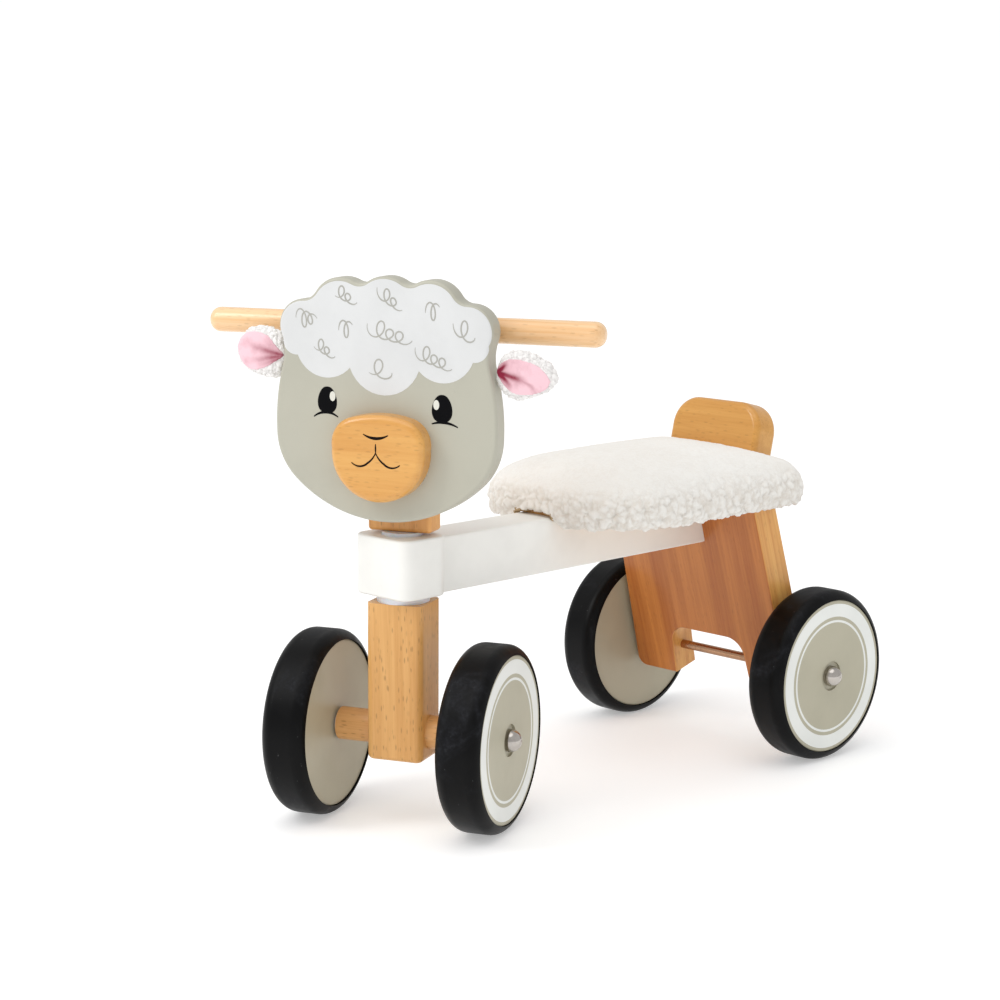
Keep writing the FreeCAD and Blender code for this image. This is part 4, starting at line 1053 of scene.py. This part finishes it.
def finishes():
    upright = (0, 0, 1)
    lean = math.radians(15.83)
    panel_lean = (math.sin(lean), 0, math.cos(lean))
    sideways = across_steering(0, 1, 0)
    honey, honey_dark = rgb(234, 182, 114), rgb(208, 150, 82)
    dress(beech("post_wood", upright, honey, honey_dark, 1, flecks=0.55), "steering_post")
    # The neck's colours are more saturated than the post's: painted warm light bounced from the wood, in
    # the shade under the head.
    dress(beech("neck_wood", upright, rgb(240, 180, 108), rgb(216, 148, 78), 2), "neck_board",
          "head_spacer")
    dress(beech("block_wood", sideways, honey, honey_dark, 3), "handlebar_block")
    # The bar's colours are paler than the other beech: a painted highlight.
    dress(beech("bar_wood", sideways, rgb(250, 214, 168), rgb(232, 180, 122), 4, flecks=0.3,
                shine=0.9), "handlebar")
    dress(beech("snout_wood", sideways, rgb(228, 172, 92), rgb(210, 146, 66), 5, flecks=0.35,
                shine=0.7), "snout")
    dress(beech("backrest_wood", (0, 1, 0), rgb(224, 168, 88), rgb(200, 140, 62), 6, flecks=0.3,
                shine=0.5), "backrest")
    # The panel's colours are darker and redder than the other beech: painted shade from under the seat.
    # Its side faces take a lighter beech colour: painted light.
    dress(beech("panel_wood", panel_lean, rgb(202, 128, 60), rgb(166, 92, 36), 7, flecks=0.2,
                edge=rgb(240, 186, 104)), "rear_panel")
    dress(beech("seat_wood", (1, 0, 0), honey, honey_dark, 8), "seat_board")
    dress(beech("dowel_wood", sideways, rgb(226, 172, 110), rgb(196, 138, 78), 9),
          "front_axle_dowel", "beam_dowels")
    dress(painted("beam_white", rgb(246, 245, 240), 0.42, 0.6), "main_beam", "steering_block")
    dress(painted("head_greige", rgb(184, 182, 167), 0.46, 0.5), "head_board")
    discs = ["%s_%s_disc" % (end, side) for end in ("front", "rear") for side in ("left", "right")]
    dress(painted("disc_greige", rgb(180, 175, 153), 0.42, 0.8), *discs)
    dress(rubber("tyre_black"), *[disc.replace("disc", "tyre") for disc in discs])
    dress(nylon("hub_nylon", rgb(226, 226, 222)), *[disc.replace("disc", "hub") for disc in discs])
    dress(nylon("washer_nylon", rgb(232, 234, 240)), "lower_bearing_washer", "upper_bearing_washer",
          "steering_bushes", "front_axle_washers", "rear_axle_washers")
    dress(metal("chrome", rgb(190, 184, 178), 0.12), "front_axle_caps", "rear_axle_caps")
    # The rear axle's steel is tinted brown: a painted reflection of the beech around it.
    dress(metal("axle_steel", rgb(182, 142, 112), 0.2), "rear_axle")
    dress(metal("steel", rgb(198, 188, 178), 0.26), "front_axle", "steering_spindle",
          "spindle_barrel_nuts", "panel_screws", "seat_screws", "backrest_screws", "neck_screws",
          "head_screws", "handlebar_screw", "snout_screws")


# ---------------------------------------------------------------------------------------------
# Studio
# ---------------------------------------------------------------------------------------------

def studio():
    """White floor that fades into a white surround, soft light from above and a softbox ahead."""
    world = bpy.data.worlds.new("studio")
    SCENE.world = world
    world.use_nodes = True
    tree = world.node_tree
    light = tree.nodes["Background"]
    seen = tree.nodes.new("ShaderNodeBackground")
    both = tree.nodes.new("ShaderNodeMixShader")
    for background, strength in ((light, 0.70), (seen, 1.02)):
        background.inputs["Color"].default_value = (1.0, 1.0, 1.0, 1.0)
        background.inputs["Strength"].default_value = strength
    direct = tree.nodes.new("ShaderNodeLightPath").outputs["Is Camera Ray"]
    tree.links.new(direct, both.inputs[0])
    tree.links.new(light.outputs[0], both.inputs[1])
    tree.links.new(seen.outputs[0], both.inputs[2])
    tree.links.new(both.outputs[0], tree.nodes["World Output"].inputs["Surface"])

    sun = bpy.data.lights.new("key", "SUN")
    sun.energy = 0.75
    sun.angle = math.radians(50)
    key = bpy.data.objects.new("key", sun)
    SCENE.collection.objects.link(key)
    key.rotation_euler = Vector((0.25, 0.1, 0.95)).to_track_quat("Z", "Y").to_euler()

    panel = bpy.data.lights.new("softbox", "AREA")
    panel.shape = "RECTANGLE"
    panel.size = 0.6
    panel.size_y = 0.9
    panel.energy = 10
    box = bpy.data.objects.new("softbox", panel)
    SCENE.collection.objects.link(box)
    box.location = (1.5, -0.6, 1.45)
    aim = box.location - Vector((0, 0, 0.25))
    box.rotation_euler = aim.to_track_quat("Z", "Y").to_euler()

    look = Look("floor_white", Roughness=0.6, Specular_IOR_Level=0.2, Emission_Strength=0.36,
                Emission_Color=(1.0, 1.0, 1.0, 1.0))
    haze = look.noise(look.place(), 3.0, 3.0, 0.5)
    look.color(look.mix(haze, (0.79, 0.79, 0.79, 1.0), (0.81, 0.81, 0.81, 1.0)))
    half = 15.0
    floor = new_object("floor", mesh_from("floor", [(-half, -half, 0), (half, -half, 0),
                                                    (half, half, 0), (-half, half, 0)],
                                          [(0, 1, 2, 3)]), look.material)


def camera():
    """Long lens at about the height of the head, from the front left of the bike."""
    yaw, pitch, roll = (math.radians(angle) for angle in (-134.555, -9.593, 0.281))
    ahead = Vector((math.cos(yaw) * math.cos(pitch), math.sin(yaw) * math.cos(pitch),
                    math.sin(pitch)))
    level = ahead.cross(Vector((0, 0, 1))).normalized()
    upward = level.cross(ahead)
    right = math.cos(roll) * level + math.sin(roll) * upward
    above = math.cos(roll) * upward - math.sin(roll) * level
    lens_data = bpy.data.cameras.new("camera")
    lens_data.lens = 84.2
    lens_data.sensor_width = 36.0
    lens_data.shift_x = 0.0074
    lens_data.shift_y = -0.0035
    view = bpy.data.objects.new("camera", lens_data)
    SCENE.collection.objects.link(view)
    view.matrix_world = Matrix.Translation((1.39712, 1.33567, 0.56824)) @ Matrix(
        (right, above, -ahead)).transposed().to_4x4()
    SCENE.camera = view


SCENE.view_settings.view_transform = "Standard"
finishes()
wheel_rings()
head_prints()
ears()
make_cushion()
studio()
camera()
